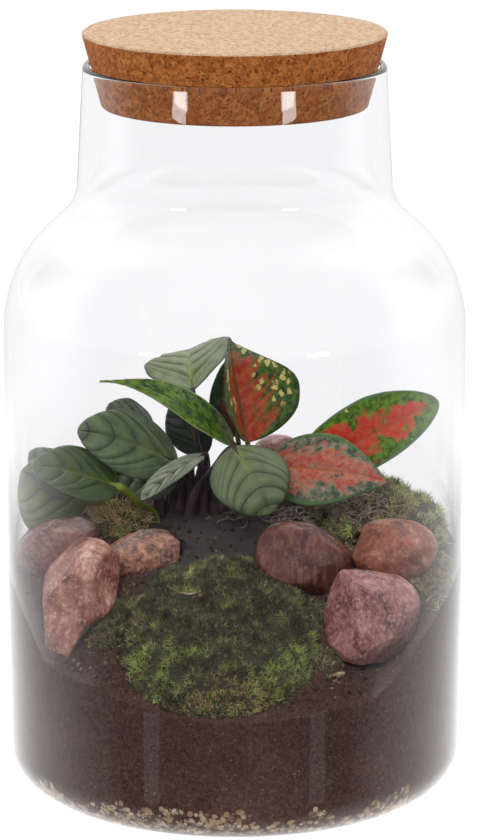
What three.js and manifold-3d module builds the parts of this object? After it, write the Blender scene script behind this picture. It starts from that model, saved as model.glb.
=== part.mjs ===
/**
 * A closed terrarium: a shouldered glass jar with a tapered cork lid. It holds a layer of grit,
 * potting soil banked up towards the back, three cushions of moss, seven tumbled stones,
 * an aglaonema with red leaves and a clump of ctenanthe.
 * Millimetres, +Z up. The origin is the middle of the jar's foot, and the front faces -Y.
 */
import * as THREE from 'three';
import { mergeVertices } from 'three/addons/utils/BufferGeometryUtils.js';
import Module from 'manifold-3d';

const wasm = await Module();
wasm.setup();

// Driving sizes
const FACETS = 40;
const SEAT_GAP = 0.3;
const JAR = {
  rimHeight: 287.5,
  bodyRadiusLow: 90.9,
  bodyRadiusHigh: 90,
  shoulderStart: 185,
  shoulderBend: 52,
  shoulderTurn: 48,
  shoulderFlat: 7.1,
  neckFillet: 19.7,
  rimRadius: 58.6,
  bodyWall: 3,
  rimWall: 2.9,
  floor: 5.5,
  outerCorner: { radius: 17.5, height: 18 },
  innerCorner: 14.5,
  footRing: 53,
  punt: 1.6,
};
const CORK = { top: 300, bottom: 271.7, topRadius: 58.8, bottomRadius: 51.6, bevel: 0.9 };
const GRIT = { top: 8.4, bankTop: 13.8, bankStart: 71, bankEnd: 79, setBack: 1.7, grains: 42 };
const SOIL = { footAtWall: 15.8, footStep: 79, floor: 9.1, floorEdge: 70, front: 46, back: 107 };
const SIDE_DROP = { left: 13, right: 9 };
// Where the soil is pressed down in front of a stone that leans on the glass
const HOLLOWS = [
  { at: [-72, -54], depth: 10, width: 15 },
  { at: [52, -68], depth: 7, width: 16 },
];
const CANE = { at: [3, 4], foot: 94, top: 128, radius: 3.3, sides: 10 };
const ROOT_DEPTH = 96;
const PETIOLE = { radius: 1.15, sides: 6, steps: 7 };
const BLADE = { stations: 10, across: 4, midThickness: 1, edgeThickness: 0.64, tipHalfWidth: 0.4 };

// Where each kind of leaf is widest, and how full it is towards its base and its tip
const OUTLINES = {
  heart: { widest: 0.43, base: 0.42, tip: 1.25 },
  lance: { widest: 0.34, base: 0.5, tip: 1.5 },
  ovate: { widest: 0.42, base: 0.48, tip: 0.85 },
  oblong: { widest: 0.5, base: 0.55, tip: 0.55 },
  round: { widest: 0.48, base: 0.42, tip: 0.45 },
  obovate: { widest: 0.62, base: 0.85, tip: 0.42 },
};

/*
 * A leaf's base and tip are the ends of its midrib, and face is the way its upper side looks.
 * Left and right are seen from above, looking from base to tip: shares of half the width, the
 * rise of each half from flat at the midrib, and how far it rolls on towards its margin.
 * route is the petiole from where it is held up to the base.
 */
const AGLAONEMA_LEAVES = [
  {
    outline: 'heart', base: [5, -2, 138], tip: [-2.5, 7, 177.5], face: [0.66, -0.75, 0.1],
    width: 48, share: [0.8, 1.1], rise: [40, 36], roll: [-10, -25],
    arch: -1, sway: 0, droop: 0, wave: 0.8, route: [[3, 4, 126], [4, 1, 133]],
  },
  {
    outline: 'lance', base: [-0.5, -3, 137.5], tip: [-50.5, -14, 167.8], face: [0.35, -0.35, 0.88],
    width: 28, share: [0.62, 0.75], rise: [0, 10], roll: [-15, 5],
    arch: 5, sway: 0, droop: 3.5, wave: 0.3, route: [[3, 4, 121], [0.5, 0, 130]],
  },
  {
    outline: 'ovate', base: [24, 8, 124], tip: [80.5, -4, 155.5], face: [-0.15, -0.8, 0.6],
    width: 33, share: [1, 1], rise: [12, 12], roll: [-20, -20],
    arch: 2, sway: 2, droop: 2, wave: 0.5, route: [[3, 4, 113], [11, 6, 118]],
  },
  {
    outline: 'ovate', base: [12, -3, 128], tip: [58.5, -18, 127], face: [0, -0.75, 0.65],
    width: 31, share: [1.05, 1], rise: [12, 12], roll: [-25, -40],
    arch: 3, sway: 0, droop: 2, wave: 0.4, route: [[3, 4, 118], [7, 1, 123]],
  },
  {
    outline: 'ovate', base: [1, 7, 138], tip: [-4, 11, 167], face: [0.05, -1, 0.1],
    width: 18, share: [1, 1], rise: [10, 10], roll: [-10, -10],
    arch: 0, sway: 0, droop: 0, wave: 0.3, route: [[3, 4, 124], [2, 7, 131]],
  },
];
const CTENANTHE_LEAVES = [
  {
    outline: 'round', base: [-0.5, -12, 138.5], tip: [13.5, -28, 117], face: [0.1, -0.75, 0.66],
    width: 32, share: [1, 1.05], rise: [6, 6], roll: [-35, -30],
    arch: 3, sway: 0, droop: 2, wave: 0.3, route: [[-19, 3], [-17, 1, 113], [-9, -6, 128]],
  },
  {
    outline: 'obovate', base: [-16.5, 4, 157.5], tip: [-19, 36, 167], face: [-0.2, -0.38, 0.9],
    width: 38, share: [0.95, 1], rise: [6, 10], roll: [-10, 5],
    arch: 2, sway: 0, droop: 1, wave: 0.4, route: [[-10, 11], [-12, 11, 115], [-15.5, 7, 140]],
  },
  {
    outline: 'oblong', base: [-22.5, -2, 129.5], tip: [-60, -16, 147], face: [-0.1, -0.75, 0.65],
    width: 28, share: [1, 1], rise: [8, 10], roll: [-25, -25],
    arch: 3, sway: 0, droop: 2, wave: 0.4, route: [[-18, 9], [-17.5, 8, 111], [-18.5, 3, 122]],
  },
  {
    outline: 'oblong', base: [-45, -18, 124], tip: [-76, -30, 136.5], face: [-0.1, -0.7, 0.7],
    width: 23.5, share: [1, 1], rise: [10, 10], roll: [-20, -20],
    arch: 2, sway: 0, droop: 2, wave: 0.3, route: [[-31, 2], [-30.5, 0, 107], [-37, -9, 115]],
  },
  {
    outline: 'oblong', base: [-64, -2, 116.5], tip: [-80, -12, 136.5], face: [-0.1, -0.7, 0.7],
    width: 17, share: [1, 1], rise: [10, 10], roll: [-20, -20],
    arch: 2, sway: 0, droop: 0, wave: 0.3, route: [[-36, 16], [-41, 16, 109], [-54, 6, 114]],
  },
  {
    outline: 'oblong', base: [-58.5, 11, 110.5], tip: [-84.5, -1, 126], face: [-0.3, -0.85, 0.4],
    width: 36, share: [1.15, 0.6], rise: [10, 10], roll: [-20, -20],
    arch: 2, sway: 0, droop: 0, wave: 0.5, route: [[-42, 20], [-45, 19, 106]],
  },
  {
    outline: 'oblong', base: [-32, 16, 138], tip: [-51, 8, 148.5], face: [0, -0.5, 0.86],
    width: 17, share: [1, 1], rise: [10, 20], roll: [-20, -20],
    arch: 2, sway: 0, droop: 0, wave: 0.3, route: [[-24, 19], [-25.5, 19, 115], [-30, 18, 130]],
  },
  {
    outline: 'oblong', base: [-11.5, 15, 129], tip: [-24, 25, 148.5], face: [-0.5, -0.8, 0.4],
    width: 20, share: [1, 1], rise: [10, 10], roll: [-20, -20],
    arch: 2, sway: 0, droop: 0, wave: 0.3, route: [[-8, 17], [-9, 17, 113], [-10.5, 15, 122]],
  },
  {
    outline: 'oblong', base: [-12, -6, 134], tip: [-36, -26, 121], face: [-0.25, -0.6, 0.7],
    width: 10, share: [1, 1], rise: [12, 12], roll: [-10, -10],
    arch: 1, sway: 1, droop: 0, wave: 0.2, route: [[-13, 6], [-12.5, 5, 113], [-12, 0, 127]],
  },
  {
    outline: 'oblong', base: [-23.5, 3, 121.5], tip: [-43.5, -6, 121], face: [0, -0.7, 0.7],
    width: 18, share: [1, 1], rise: [10, 10], roll: [-20, -20],
    arch: 2, sway: 0, droop: 0, wave: 0.3, route: [[-25, 10], [-25, 10, 110], [-24, 5, 118]],
  },
];

/*
 * half holds a stone's half width, depth and height before it is turned, in degrees about X, Y
 * and Z in that order. Below its middle a tapered stone is slimmer, and flats are worn faces:
 * the way each one looks, and how far it lies from the middle.
 */
const STONES = [
  {
    name: 'stone_left_back', at: [-69, -12, 96.8], half: [17, 9, 12.5], turn: [0, -28, 10],
    taper: 0, flats: [[0.3, -1, 0.2, 9.5]], seed: 3, colour: 0x9a6464,
  },
  {
    name: 'stone_left_front', at: [-61.5, -42.5, 85], half: [14.5, 9.5, 27], turn: [-24, 15, -38],
    taper: 0.5, flats: [[-0.3, -1, 0.1, 8.5], [0.8, -0.5, 0, 11]], seed: 8, colour: 0xa4685f,
  },
  {
    name: 'stone_left_mid', at: [-36, -19.5, 97], half: [18, 10, 10], turn: [0, -6, 6],
    taper: 0, flats: [[-0.3, -0.2, 1, 8], [0.2, -1, 0.1, 8.5]], seed: 14, colour: 0xa27463,
  },
  {
    name: 'stone_right_mid', at: [26, -31, 98], half: [19, 12, 14.5], turn: [0, 14, 0],
    taper: 0, flats: [[0.2, -1, 0.4, 10]], seed: 21, colour: 0x6b3f38,
  },
  {
    name: 'stone_right_back', at: [62, -21.5, 99], half: [17.5, 12, 12.5], turn: [0, 8, 20],
    taper: 0, flats: [[-0.5, -0.6, 0.7, 10]], seed: 33, colour: 0xb06a4c,
  },
  {
    name: 'stone_right_front', at: [51, -51, 81], half: [22.3, 12.5, 20], turn: [-14, -8, 42],
    taper: 0.15, flats: [[0, -1, 0.1, 9], [-1, -0.2, 0.3, 15]], seed: 47, colour: 0x8a585c,
  },
  {
    name: 'stone_centre_back', at: [16.5, 32, 115], half: [11.5, 10, 18], turn: [0, 6, 0],
    taper: 0.2, flats: [], seed: 52, colour: 0xb98a84,
  },
];
const STONE_BED_GAP = 0.75;

const MOSSES = [
  {
    name: 'moss_front', at: [-6, -55], reach: [38, 28], height: 10.5, sunk: 3,
    rings: 8, spokes: 36, tuft: 1.1, seed: 5, colour: 0x2e3b1e,
  },
  {
    name: 'moss_right', at: [59, 11], reach: [27, 38], height: 13, sunk: 3,
    rings: 7, spokes: 32, tuft: 1.5, seed: 6, colour: 0x4a4f2c,
  },
  {
    name: 'moss_left', at: [-46, 3], reach: [13, 9], height: 8, sunk: 2.5,
    rings: 4, spokes: 16, tuft: 0.8, seed: 7, colour: 0x6b6238,
  },
];
const MOSS_LIMIT_RADIUS = 86.2;
const MOSS_UNDER_ROWS = 3;

const FINISHES = {
  glass: { color: 0xf2f4f6, roughness: 0.03, metalness: 0, transparent: true, opacity: 0.22 },
  cork: { color: 0xb98a5c, roughness: 0.85, metalness: 0 },
  grit: { color: 0xb9a184, roughness: 0.9, metalness: 0 },
  soil: { color: 0x45363a, roughness: 0.95, metalness: 0 },
  cane: { color: 0x59613a, roughness: 0.6, metalness: 0 },
  aglaonema: { color: 0x7c4a30, roughness: 0.4, metalness: 0, side: THREE.DoubleSide },
  ctenanthe: { color: 0x55694f, roughness: 0.5, metalness: 0, side: THREE.DoubleSide },
};

const vector = (point) => new THREE.Vector3(...point);
const radians = THREE.MathUtils.degToRad;
const mix = THREE.MathUtils.lerp;

/** Seeded numbers from 0 to 1, the same at every build. */
function draws(seed) {
  let state = seed;
  return () => {
    state = (state + 0x6d2b79f5) | 0;
    let mixed = Math.imul(state ^ (state >>> 15), 1 | state);
    mixed = (mixed + Math.imul(mixed ^ (mixed >>> 7), 61 | mixed)) ^ mixed;
    return ((mixed ^ (mixed >>> 14)) >>> 0) / 2 ** 32;
  };
}

/** A smooth lumpy field from -1 to 1 over space, for a lump size in millimetres. */
function lumps(seed, size) {
  const draw = draws(seed);
  const waves = Array.from({ length: 5 }, () => ({
    way: new THREE.Vector3(draw() - 0.5, draw() - 0.5, draw() - 0.5).normalize(),
    phase: draw() * Math.PI * 2,
    pitch: size * (0.7 + draw()),
  }));
  const wave = (point, w) => Math.sin((point.dot(w.way) * Math.PI) / w.pitch + w.phase);
  return (point) => waves.reduce((sum, w) => sum + wave(point, w), 0) / waves.length;
}

/** A geometry with only its places left, and its shared corners merged. */
function welded(geometry) {
  const bare = geometry.clone();
  bare.deleteAttribute('normal');
  bare.deleteAttribute('uv');
  return mergeVertices(bare, 1e-4);
}

/** A closed geometry as a solid for joining and cutting. */
function solid(geometry) {
  const bare = welded(geometry);
  const corners = Array.from(bare.index.array);
  const triangles = [];
  for (let i = 0; i < corners.length; i += 3) {
    const [a, b, c] = corners.slice(i, i + 3);
    if (a !== b && b !== c && c !== a) triangles.push(a, b, c);
  }
  return new wasm.Manifold(new wasm.Mesh({
    numProp: 3,
    vertProperties: new Float32Array(bare.attributes.position.array),
    triVerts: new Uint32Array(triangles),
  }));
}

/** A solid back as a geometry with flat faces. */
function faceted(body) {
  const mesh = body.getMesh();
  const geometry = new THREE.BufferGeometry();
  geometry.setAttribute('position', new THREE.BufferAttribute(mesh.vertProperties, 3));
  geometry.setIndex(new THREE.BufferAttribute(mesh.triVerts, 1));
  const flat = geometry.toNonIndexed();
  flat.computeVertexNormals();
  return flat;
}

/** A geometry from places and triangles of their numbers. */
function meshed(places, triangles) {
  const geometry = new THREE.BufferGeometry();
  geometry.setAttribute('position', new THREE.Float32BufferAttribute(places.flat(), 3));
  geometry.setIndex(triangles.flat());
  return geometry;
}

/** A profile of radius and height turned about the Z axis. */
function turned(profile, sides = FACETS) {
  const points = profile.map(([radius, height]) => new THREE.Vector2(radius, height));
  return new THREE.LatheGeometry(points, sides).rotateX(Math.PI / 2);
}

/**
 * A closed skin between a top and a bottom pole. place gives the point of a row at a turn
 * from 0 to 1, and the first and the last row are the poles.
 */
function skin(rows, columns, place) {
  const places = [place(0, 0), place(rows, 0)];
  for (let row = 1; row < rows; row += 1) {
    for (let column = 0; column < columns; column += 1) places.push(place(row, column / columns));
  }
  const at = (row, column) => {
    if (row === 0) return 0;
    if (row === rows) return 1;
    return 2 + (row - 1) * columns + (column % columns);
  };
  const triangles = [];
  for (let row = 0; row < rows; row += 1) {
    for (let column = 0; column < columns; column += 1) {
      const [a, b] = [at(row, column), at(row, column + 1)];
      const [c, d] = [at(row + 1, column), at(row + 1, column + 1)];
      if (row < rows - 1) triangles.push([a, c, d]);
      if (row > 0) triangles.push([a, d, b]);
    }
  }
  return meshed(places, triangles);
}

/** Points along an arc, angles in degrees from +radius towards +height. */
function arc([radius, height], [across, up], from, to, steps) {
  return Array.from({ length: steps + 1 }, (_, i) => {
    const angle = radians(mix(from, to, i / steps));
    return [radius + across * Math.cos(angle), height + up * Math.sin(angle)];
  });
}

/** The jar's outer radius on its nearly straight body. */
function bodyRadius(height) {
  const share = (height - JAR.outerCorner.height) / (JAR.shoulderStart - JAR.outerCorner.height);
  return mix(JAR.bodyRadiusLow, JAR.bodyRadiusHigh, share);
}

/** The radius inside the jar's straight wall. */
function wallInside(height) {
  return bodyRadius(height) - JAR.bodyWall;
}

/**
 * The jar's side from the shoulder up to the rim, for the outside, or for the inside when it
 * lies a wall's thickness further in.
 */
function shoulderAndNeck(inset, rimInset) {
  const turn = JAR.shoulderTurn;
  const [cosine, sine] = [Math.cos(radians(turn)), Math.sin(radians(turn))];
  const bend = JAR.shoulderBend - inset;
  const fillet = JAR.neckFillet + inset;
  const centre = [JAR.bodyRadiusHigh - JAR.shoulderBend, JAR.shoulderStart];
  const round = arc(centre, [bend, bend], 0, turn, 5);
  const [endRadius, endHeight] = round.at(-1);
  const flatEnd = [endRadius - JAR.shoulderFlat * sine, endHeight + JAR.shoulderFlat * cosine];
  const filletCentre = [flatEnd[0] + fillet * cosine, flatEnd[1] + fillet * sine];
  const filleted = arc(filletCentre, [-fillet, -fillet], turn, 3, 4);
  const neckTop = JAR.rimHeight - JAR.rimWall / 2;
  return [...round, ...filleted, [JAR.rimRadius - rimInset, neckTop]];
}

/** The glass: foot ring, rounded corners, straight body, shoulder, neck and fire-polished rim. */
function jarGlass() {
  const { outerCorner, innerCorner, floor, rimWall, rimHeight, rimRadius } = JAR;
  const footRadius = JAR.bodyRadiusLow - outerCorner.radius;
  const insideCorner = [wallInside(outerCorner.height) - innerCorner, floor + innerCorner];
  const lip = rimWall / 2;
  const profile = [
    [0, JAR.punt],
    [JAR.footRing - 6, JAR.punt],
    [JAR.footRing, 0],
    ...arc([footRadius, outerCorner.height], [outerCorner.radius, outerCorner.height], -90, 0, 4),
    ...shoulderAndNeck(0, 0),
    ...arc([rimRadius - lip, rimHeight - lip], [lip, lip], 30, 150, 3),
    ...shoulderAndNeck(JAR.bodyWall, rimWall).reverse(),
    ...arc(insideCorner, [innerCorner, innerCorner], 0, -90, 4),
    [0, floor],
  ];
  return turned(profile);
}

/** The lid: a plug of pressed cork, wedged in the rim by its taper. */
function corkLid() {
  const { top, bottom, topRadius, bottomRadius, bevel } = CORK;
  return turned([
    [0, bottom],
    [bottomRadius - bevel, bottom],
    [bottomRadius, bottom + bevel],
    [topRadius, top - bevel],
    [topRadius - bevel, top],
    [0, top],
  ]);
}

/** The grit under the soil: a flat bed with a low bank at the wall, set with loose grains. */
function drainageGrit() {
  const centre = [wallInside(JAR.outerCorner.height) - JAR.innerCorner, JAR.floor + JAR.innerCorner];
  const reach = JAR.innerCorner - SEAT_GAP;
  const body = reach - GRIT.setBack;
  const bed = turned([
    [0, JAR.floor + SEAT_GAP],
    [GRIT.bankStart, JAR.floor + SEAT_GAP],
    ...arc(centre, [body, body], -84, -28, 4),
    [GRIT.bankEnd, GRIT.bankTop],
    [GRIT.bankStart, GRIT.top],
    [0, GRIT.top],
  ]);
  const draw = draws(11);
  let grit = solid(bed);
  for (let i = 0; i < GRIT.grains; i += 1) {
    const size = mix(1.9, 2.8, draw());
    const angle = radians(mix(-74, -44, draw()));
    const out = centre[0] + (reach - size - SEAT_GAP) * Math.cos(angle);
    const up = centre[1] + (reach - size - SEAT_GAP) * Math.sin(angle);
    const turn = ((i + draw() * 0.6) / GRIT.grains) * Math.PI * 2;
    const grain = new THREE.OctahedronGeometry(size, 0);
    grain.rotateX(draw() * 3).rotateZ(draw() * 3);
    grain.translate(out * Math.cos(turn), out * Math.sin(turn), up);
    grit = grit.add(solid(grain));
  }
  return grit;
}

const soilLumps = lumps(17, 22);

/** The height of the soil: low at the front glass, rising steeply to a nearly level top. */
function ground(x, y) {
  const share = THREE.MathUtils.clamp((y + 92) / 100, 0, 1);
  const bank = Math.sin((share ** 1.15 * Math.PI) / 2);
  const sides = (x < 0 ? SIDE_DROP.left : SIDE_DROP.right) * (x / wallInside(100)) ** 2;
  const fallBehind = 9 * (Math.max(y - 8, 0) / 80) ** 2;
  const hollow = HOLLOWS.reduce((sum, { at, depth, width }) => {
    const away = Math.hypot(x - at[0], y - at[1]) / width;
    return sum + depth * Math.exp(-(away ** 2));
  }, 0);
  const lump = 1.3 * soilLumps(vector([x, y, 0]));
  return mix(SOIL.front, SOIL.back, bank) - sides - fallBehind - hollow + lump;
}

/** The soil before anything is planted in it: a banked top, a side along the glass, a stepped foot. */
function bareSoil() {
  const topRows = 9;
  const foot = [
    [SOIL.footStep, SOIL.footAtWall - 0.8],
    [SOIL.floorEdge, SOIL.floor],
    [0, SOIL.floor],
  ];
  const rows = topRows + 2 + foot.length;
  return skin(rows, FACETS, (row, turn) => {
    const way = [Math.cos(turn * Math.PI * 2), Math.sin(turn * Math.PI * 2)];
    const edge = wallInside(60) - SEAT_GAP;
    const rimHeight = ground(edge * way[0], edge * way[1]);
    if (row <= topRows) {
      const radius = (wallInside(rimHeight) - SEAT_GAP) * (row / topRows);
      return [radius * way[0], radius * way[1], ground(radius * way[0], radius * way[1])];
    }
    if (row <= topRows + 2) {
      const height = mix(rimHeight, SOIL.footAtWall, (row - topRows) / 2);
      const inside = height < JAR.floor + JAR.innerCorner ? SOIL.footAtWall : height;
      const corner = JAR.floor + JAR.innerCorner - inside;
      const pinch = corner > 0 ? JAR.innerCorner - Math.sqrt(JAR.innerCorner ** 2 - corner ** 2) : 0;
      const radius = wallInside(Math.max(inside, JAR.outerCorner.height)) - pinch - SEAT_GAP - 0.2;
      return [radius * way[0], radius * way[1], height];
    }
    const [radius, height] = foot[row - topRows - 3];
    return [radius * way[0], radius * way[1], height];
  });
}

/** How far a moss cushion spreads at an angle: an ellipse, stopped short of the glass. */
function mossReach(moss, angle) {
  const [cosine, sine] = [Math.cos(angle), Math.sin(angle)];
  const ellipse = 1 / Math.hypot(cosine / moss.reach[0], sine / moss.reach[1]);
  const along = moss.at[0] * cosine + moss.at[1] * sine;
  const across = moss.at[0] ** 2 + moss.at[1] ** 2 - MOSS_LIMIT_RADIUS ** 2;
  return Math.min(ellipse, -along + Math.sqrt(along ** 2 - across));
}

/** A cushion of moss on the soil, tufted all over, with its underside sunk in. */
function mossCushion(moss) {
  const draw = draws(moss.seed);
  const hummocks = lumps(moss.seed + 40, 9);
  const rows = moss.rings + 1 + MOSS_UNDER_ROWS;
  return skin(rows, moss.spokes, (row, turn) => {
    const angle = turn * Math.PI * 2;
    const under = row > moss.rings;
    const share = under ? (rows - row) / MOSS_UNDER_ROWS : row / moss.rings;
    const spread = mossReach(moss, angle) * share;
    const x = moss.at[0] + spread * Math.cos(angle);
    const y = moss.at[1] + spread * Math.sin(angle);
    if (under) return [x, y, ground(x, y) - moss.sunk];
    const dome = Math.max(1 - share ** 2.6, 0) ** 0.55;
    const tuft = (draw() * 2 - 1) * moss.tuft * (row < moss.rings ? 1 : 0.3);
    const bump = 1.6 * hummocks(vector([x, y, 0])) * dome;
    return [x, y, ground(x, y) + 0.6 + moss.height * dome + tuft + bump];
  });
}

/** The space that a moss cushion takes in the soil, open at the top. */
function mossBed(moss) {
  const rows = 2 + MOSS_UNDER_ROWS;
  return solid(skin(rows, moss.spokes, (row, turn) => {
    const angle = turn * Math.PI * 2;
    const over = row < 2;
    const share = over ? row : (rows - row) / MOSS_UNDER_ROWS;
    const spread = (mossReach(moss, angle) + SEAT_GAP + 0.1) * share;
    const x = moss.at[0] + spread * Math.cos(angle);
    const y = moss.at[1] + spread * Math.sin(angle);
    return [x, y, ground(x, y) + (over ? 20 : -(moss.sunk + SEAT_GAP + 0.15))];
  }));
}

/** A tumbled stone, or the bed it lies in when it is grown on every side. */
function stone(spec, growth = 0) {
  const geometry = welded(new THREE.IcosahedronGeometry(1, 2));
  const bumps = lumps(spec.seed, 0.75);
  const flats = spec.flats.map(([x, y, z, distance]) => ({
    way: new THREE.Vector3(x, y, z).normalize(),
    distance,
  }));
  const places = geometry.attributes.position;
  const way = new THREE.Vector3();
  for (let i = 0; i < places.count; i += 1) {
    way.fromBufferAttribute(places, i).normalize();
    const slim = 1 + spec.taper * way.z;
    const [a, b, c] = spec.half;
    const sum = Math.abs(way.x / (a * slim)) ** 2.3
      + Math.abs(way.y / (b * slim)) ** 2.3 + Math.abs(way.z / c) ** 2.3;
    let nearness = (sum ** (1 / 2.3)) ** 9;
    for (const flat of flats) {
      nearness += (Math.max(way.dot(flat.way), 0) / flat.distance) ** 9;
    }
    const radius = nearness ** (-1 / 9) * (1 + 0.055 * bumps(way));
    places.setXYZ(i, ...way.multiplyScalar(radius + growth).toArray());
  }
  const turn = new THREE.Euler(...spec.turn.map(radians), 'XYZ');
  geometry.applyMatrix4(new THREE.Matrix4().makeRotationFromEuler(turn));
  geometry.translate(...spec.at);
  return solid(geometry);
}

/** The share of its half width that a leaf has at a station from 0 at the base to 1 at the tip. */
function fullness(outline, station) {
  const { widest, base, tip } = OUTLINES[outline];
  if (station <= widest) return Math.sin((station / widest) * (Math.PI / 2)) ** base;
  return Math.sin(((1 - station) / (1 - widest)) * (Math.PI / 2)) ** tip;
}

/** A point on a leaf's midrib. */
function midrib(leaf, station) {
  const base = vector(leaf.base);
  const chord = vector(leaf.tip).sub(base);
  const axis = chord.clone().normalize();
  const up = vector(leaf.face).addScaledVector(axis, -vector(leaf.face).dot(axis)).normalize();
  const side = new THREE.Vector3().crossVectors(axis, up);
  const bow = 4 * station * (1 - station);
  const end = Math.max(0, (station - 0.7) / 0.3);
  return base.addScaledVector(chord, station)
    .addScaledVector(up, leaf.arch * bow - leaf.droop * end ** 2)
    .addScaledVector(side, leaf.sway * bow);
}

/** A point of a leaf's surface, across from -1 at the left margin to 1 at the right. */
function bladePoint(leaf, station, across) {
  const step = 1e-3;
  const ahead = midrib(leaf, Math.min(1, station + step));
  const along = ahead.sub(midrib(leaf, Math.max(0, station - step))).normalize();
  const up = vector(leaf.face).addScaledVector(along, -vector(leaf.face).dot(along)).normalize();
  const side = new THREE.Vector3().crossVectors(along, up);
  const half = across < 0 ? 0 : 1;
  const full = (leaf.width / 2) * leaf.share[half] * fullness(leaf.outline, station);
  const width = Math.max(full, BLADE.tipHalfWidth);
  const [rise, roll] = [radians(leaf.rise[half]), radians(leaf.roll[half])];
  const reach = Math.abs(across);
  const out = (width * Math.sin(roll * reach)) / roll;
  const lift = (width * (1 - Math.cos(roll * reach))) / roll;
  const wave = leaf.wave * reach ** 2 * Math.sin(4 * Math.PI * station) * Math.sin(Math.PI * station);
  return midrib(leaf, station)
    .addScaledVector(side, Math.sign(across) * (out * Math.cos(rise) - lift * Math.sin(rise)))
    .addScaledVector(up, out * Math.sin(rise) + lift * Math.cos(rise) + wave);
}

/** The blade as a thin closed plate, split into triangles alike on both faces. */
function blade(leaf) {
  const { stations, across } = BLADE;
  const columns = across + 1;
  const places = [];
  for (const side of [1, -1]) {
    for (let i = 0; i <= stations; i += 1) {
      const station = (1 - Math.cos((Math.PI * i) / stations)) / 2;
      for (let j = 0; j < columns; j += 1) {
        const reach = (2 * j) / across - 1;
        const point = bladePoint(leaf, station, reach);
        const ahead = bladePoint(leaf, Math.min(station + 0.02, 1), reach);
        const behind = bladePoint(leaf, Math.max(station - 0.02, 0), reach);
        const right = bladePoint(leaf, station, Math.min(reach + 0.05, 1));
        const left = bladePoint(leaf, station, Math.max(reach - 0.05, -1));
        const normal = right.sub(left).cross(ahead.sub(behind)).normalize();
        const thickness = mix(BLADE.midThickness, BLADE.edgeThickness, Math.abs(reach));
        places.push(point.addScaledVector(normal, (side * thickness) / 2).toArray());
      }
    }
  }
  const under = (stations + 1) * columns;
  const at = (i, j) => i * columns + j;
  const triangles = [];
  const quad = (a, b, c, d) => triangles.push([a, b, c], [a, c, d]);
  for (let i = 0; i < stations; i += 1) {
    for (let j = 0; j < across; j += 1) {
      const [a, b, c, d] = [at(i, j), at(i, j + 1), at(i + 1, j + 1), at(i + 1, j)];
      quad(a, b, c, d);
      triangles.push([a + under, c + under, b + under], [a + under, d + under, c + under]);
    }
  }
  const ring = [
    ...Array.from({ length: across }, (_, j) => at(0, j)),
    ...Array.from({ length: stations }, (_, i) => at(i, across)),
    ...Array.from({ length: across }, (_, j) => at(stations, across - j)),
    ...Array.from({ length: stations }, (_, i) => at(stations - i, 0)),
  ];
  ring.forEach((from, k) => {
    const to = ring[(k + 1) % ring.length];
    quad(to, from, from + under, to + under);
  });
  return solid(meshed(places, triangles));
}

/** A round rod along a smooth curve through points. */
function rod(points, radius) {
  const { sides, steps } = PETIOLE;
  const section = new THREE.Shape(Array.from({ length: sides }, (_, i) => {
    const angle = (i / sides) * Math.PI * 2;
    return new THREE.Vector2(radius * Math.cos(angle), radius * Math.sin(angle));
  }));
  const path = new THREE.CatmullRomCurve3(points, false, 'centripetal');
  return solid(new THREE.ExtrudeGeometry(section, { steps, extrudePath: path, bevelEnabled: false }));
}

/** The petiole's way up from where it is held, a little on under the blade. */
function petioleRoute(leaf) {
  const held = leaf.route.map(([x, y, z = ROOT_DEPTH]) => vector([x, y, z]));
  return [...held, vector(leaf.base), midrib(leaf, 0.14).addScaledVector(vector(leaf.face), -0.5)];
}

/** The hole that a petiole stands in, a gap wider than the petiole all round. */
function petioleHole(leaf) {
  const route = petioleRoute(leaf);
  route[0].z -= SEAT_GAP + 0.1;
  return rod(route, PETIOLE.radius + SEAT_GAP + 0.1);
}

/** A leaf: its blade joined to its petiole. */
function leafOnPetiole(leaf) {
  return blade(leaf).add(rod(petioleRoute(leaf), PETIOLE.radius));
}

/** The aglaonema's cane, ringed where old leaves stood, or its hole when it is grown. */
function cane(growth = 0) {
  const { foot, top, radius, sides } = CANE;
  const rings = 4;
  const pitch = (top - foot) / rings;
  const profile = [[0, foot - growth], [radius + growth, foot - growth]];
  for (let i = 1; i < rings; i += 1) {
    const height = foot + i * pitch;
    profile.push([radius + growth, height - 1], [radius + 0.35 + growth, height]);
    profile.push([radius + growth, height + 1]);
  }
  profile.push([radius - 0.3 + growth, top + growth], [0, top + growth]);
  return solid(turned(profile, sides).translate(...CANE.at, 0));
}

/** A named piece in its own finish. */
function piece(name, geometry, finish) {
  const mesh = new THREE.Mesh(geometry, new THREE.MeshStandardMaterial(finish));
  mesh.name = name;
  return mesh;
}

const terrarium = new THREE.Group();
terrarium.add(piece('jar_glass', jarGlass(), FINISHES.glass));
terrarium.add(piece('cork_lid', corkLid(), FINISHES.cork));
terrarium.add(piece('drainage_grit', faceted(drainageGrit()), FINISHES.grit));

const stoneBeds = STONES.map((spec) => stone(spec, STONE_BED_GAP));
const holes = CTENANTHE_LEAVES.map(petioleHole);
const planted = [...stoneBeds, ...holes];

const potting = [...planted, ...MOSSES.map(mossBed), cane(SEAT_GAP + 0.15)]
  .reduce((body, space) => body.subtract(space), solid(bareSoil()));
terrarium.add(piece('potting_soil', faceted(potting), FINISHES.soil));

for (const moss of MOSSES) {
  const cushion = planted.reduce((body, space) => body.subtract(space), solid(mossCushion(moss)));
  const finish = { color: moss.colour, roughness: 1, metalness: 0 };
  terrarium.add(piece(moss.name, faceted(cushion), finish));
}

for (const spec of STONES) {
  const finish = { color: spec.colour, roughness: 0.55, metalness: 0 };
  terrarium.add(piece(spec.name, faceted(stone(spec)), finish));
}

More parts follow.
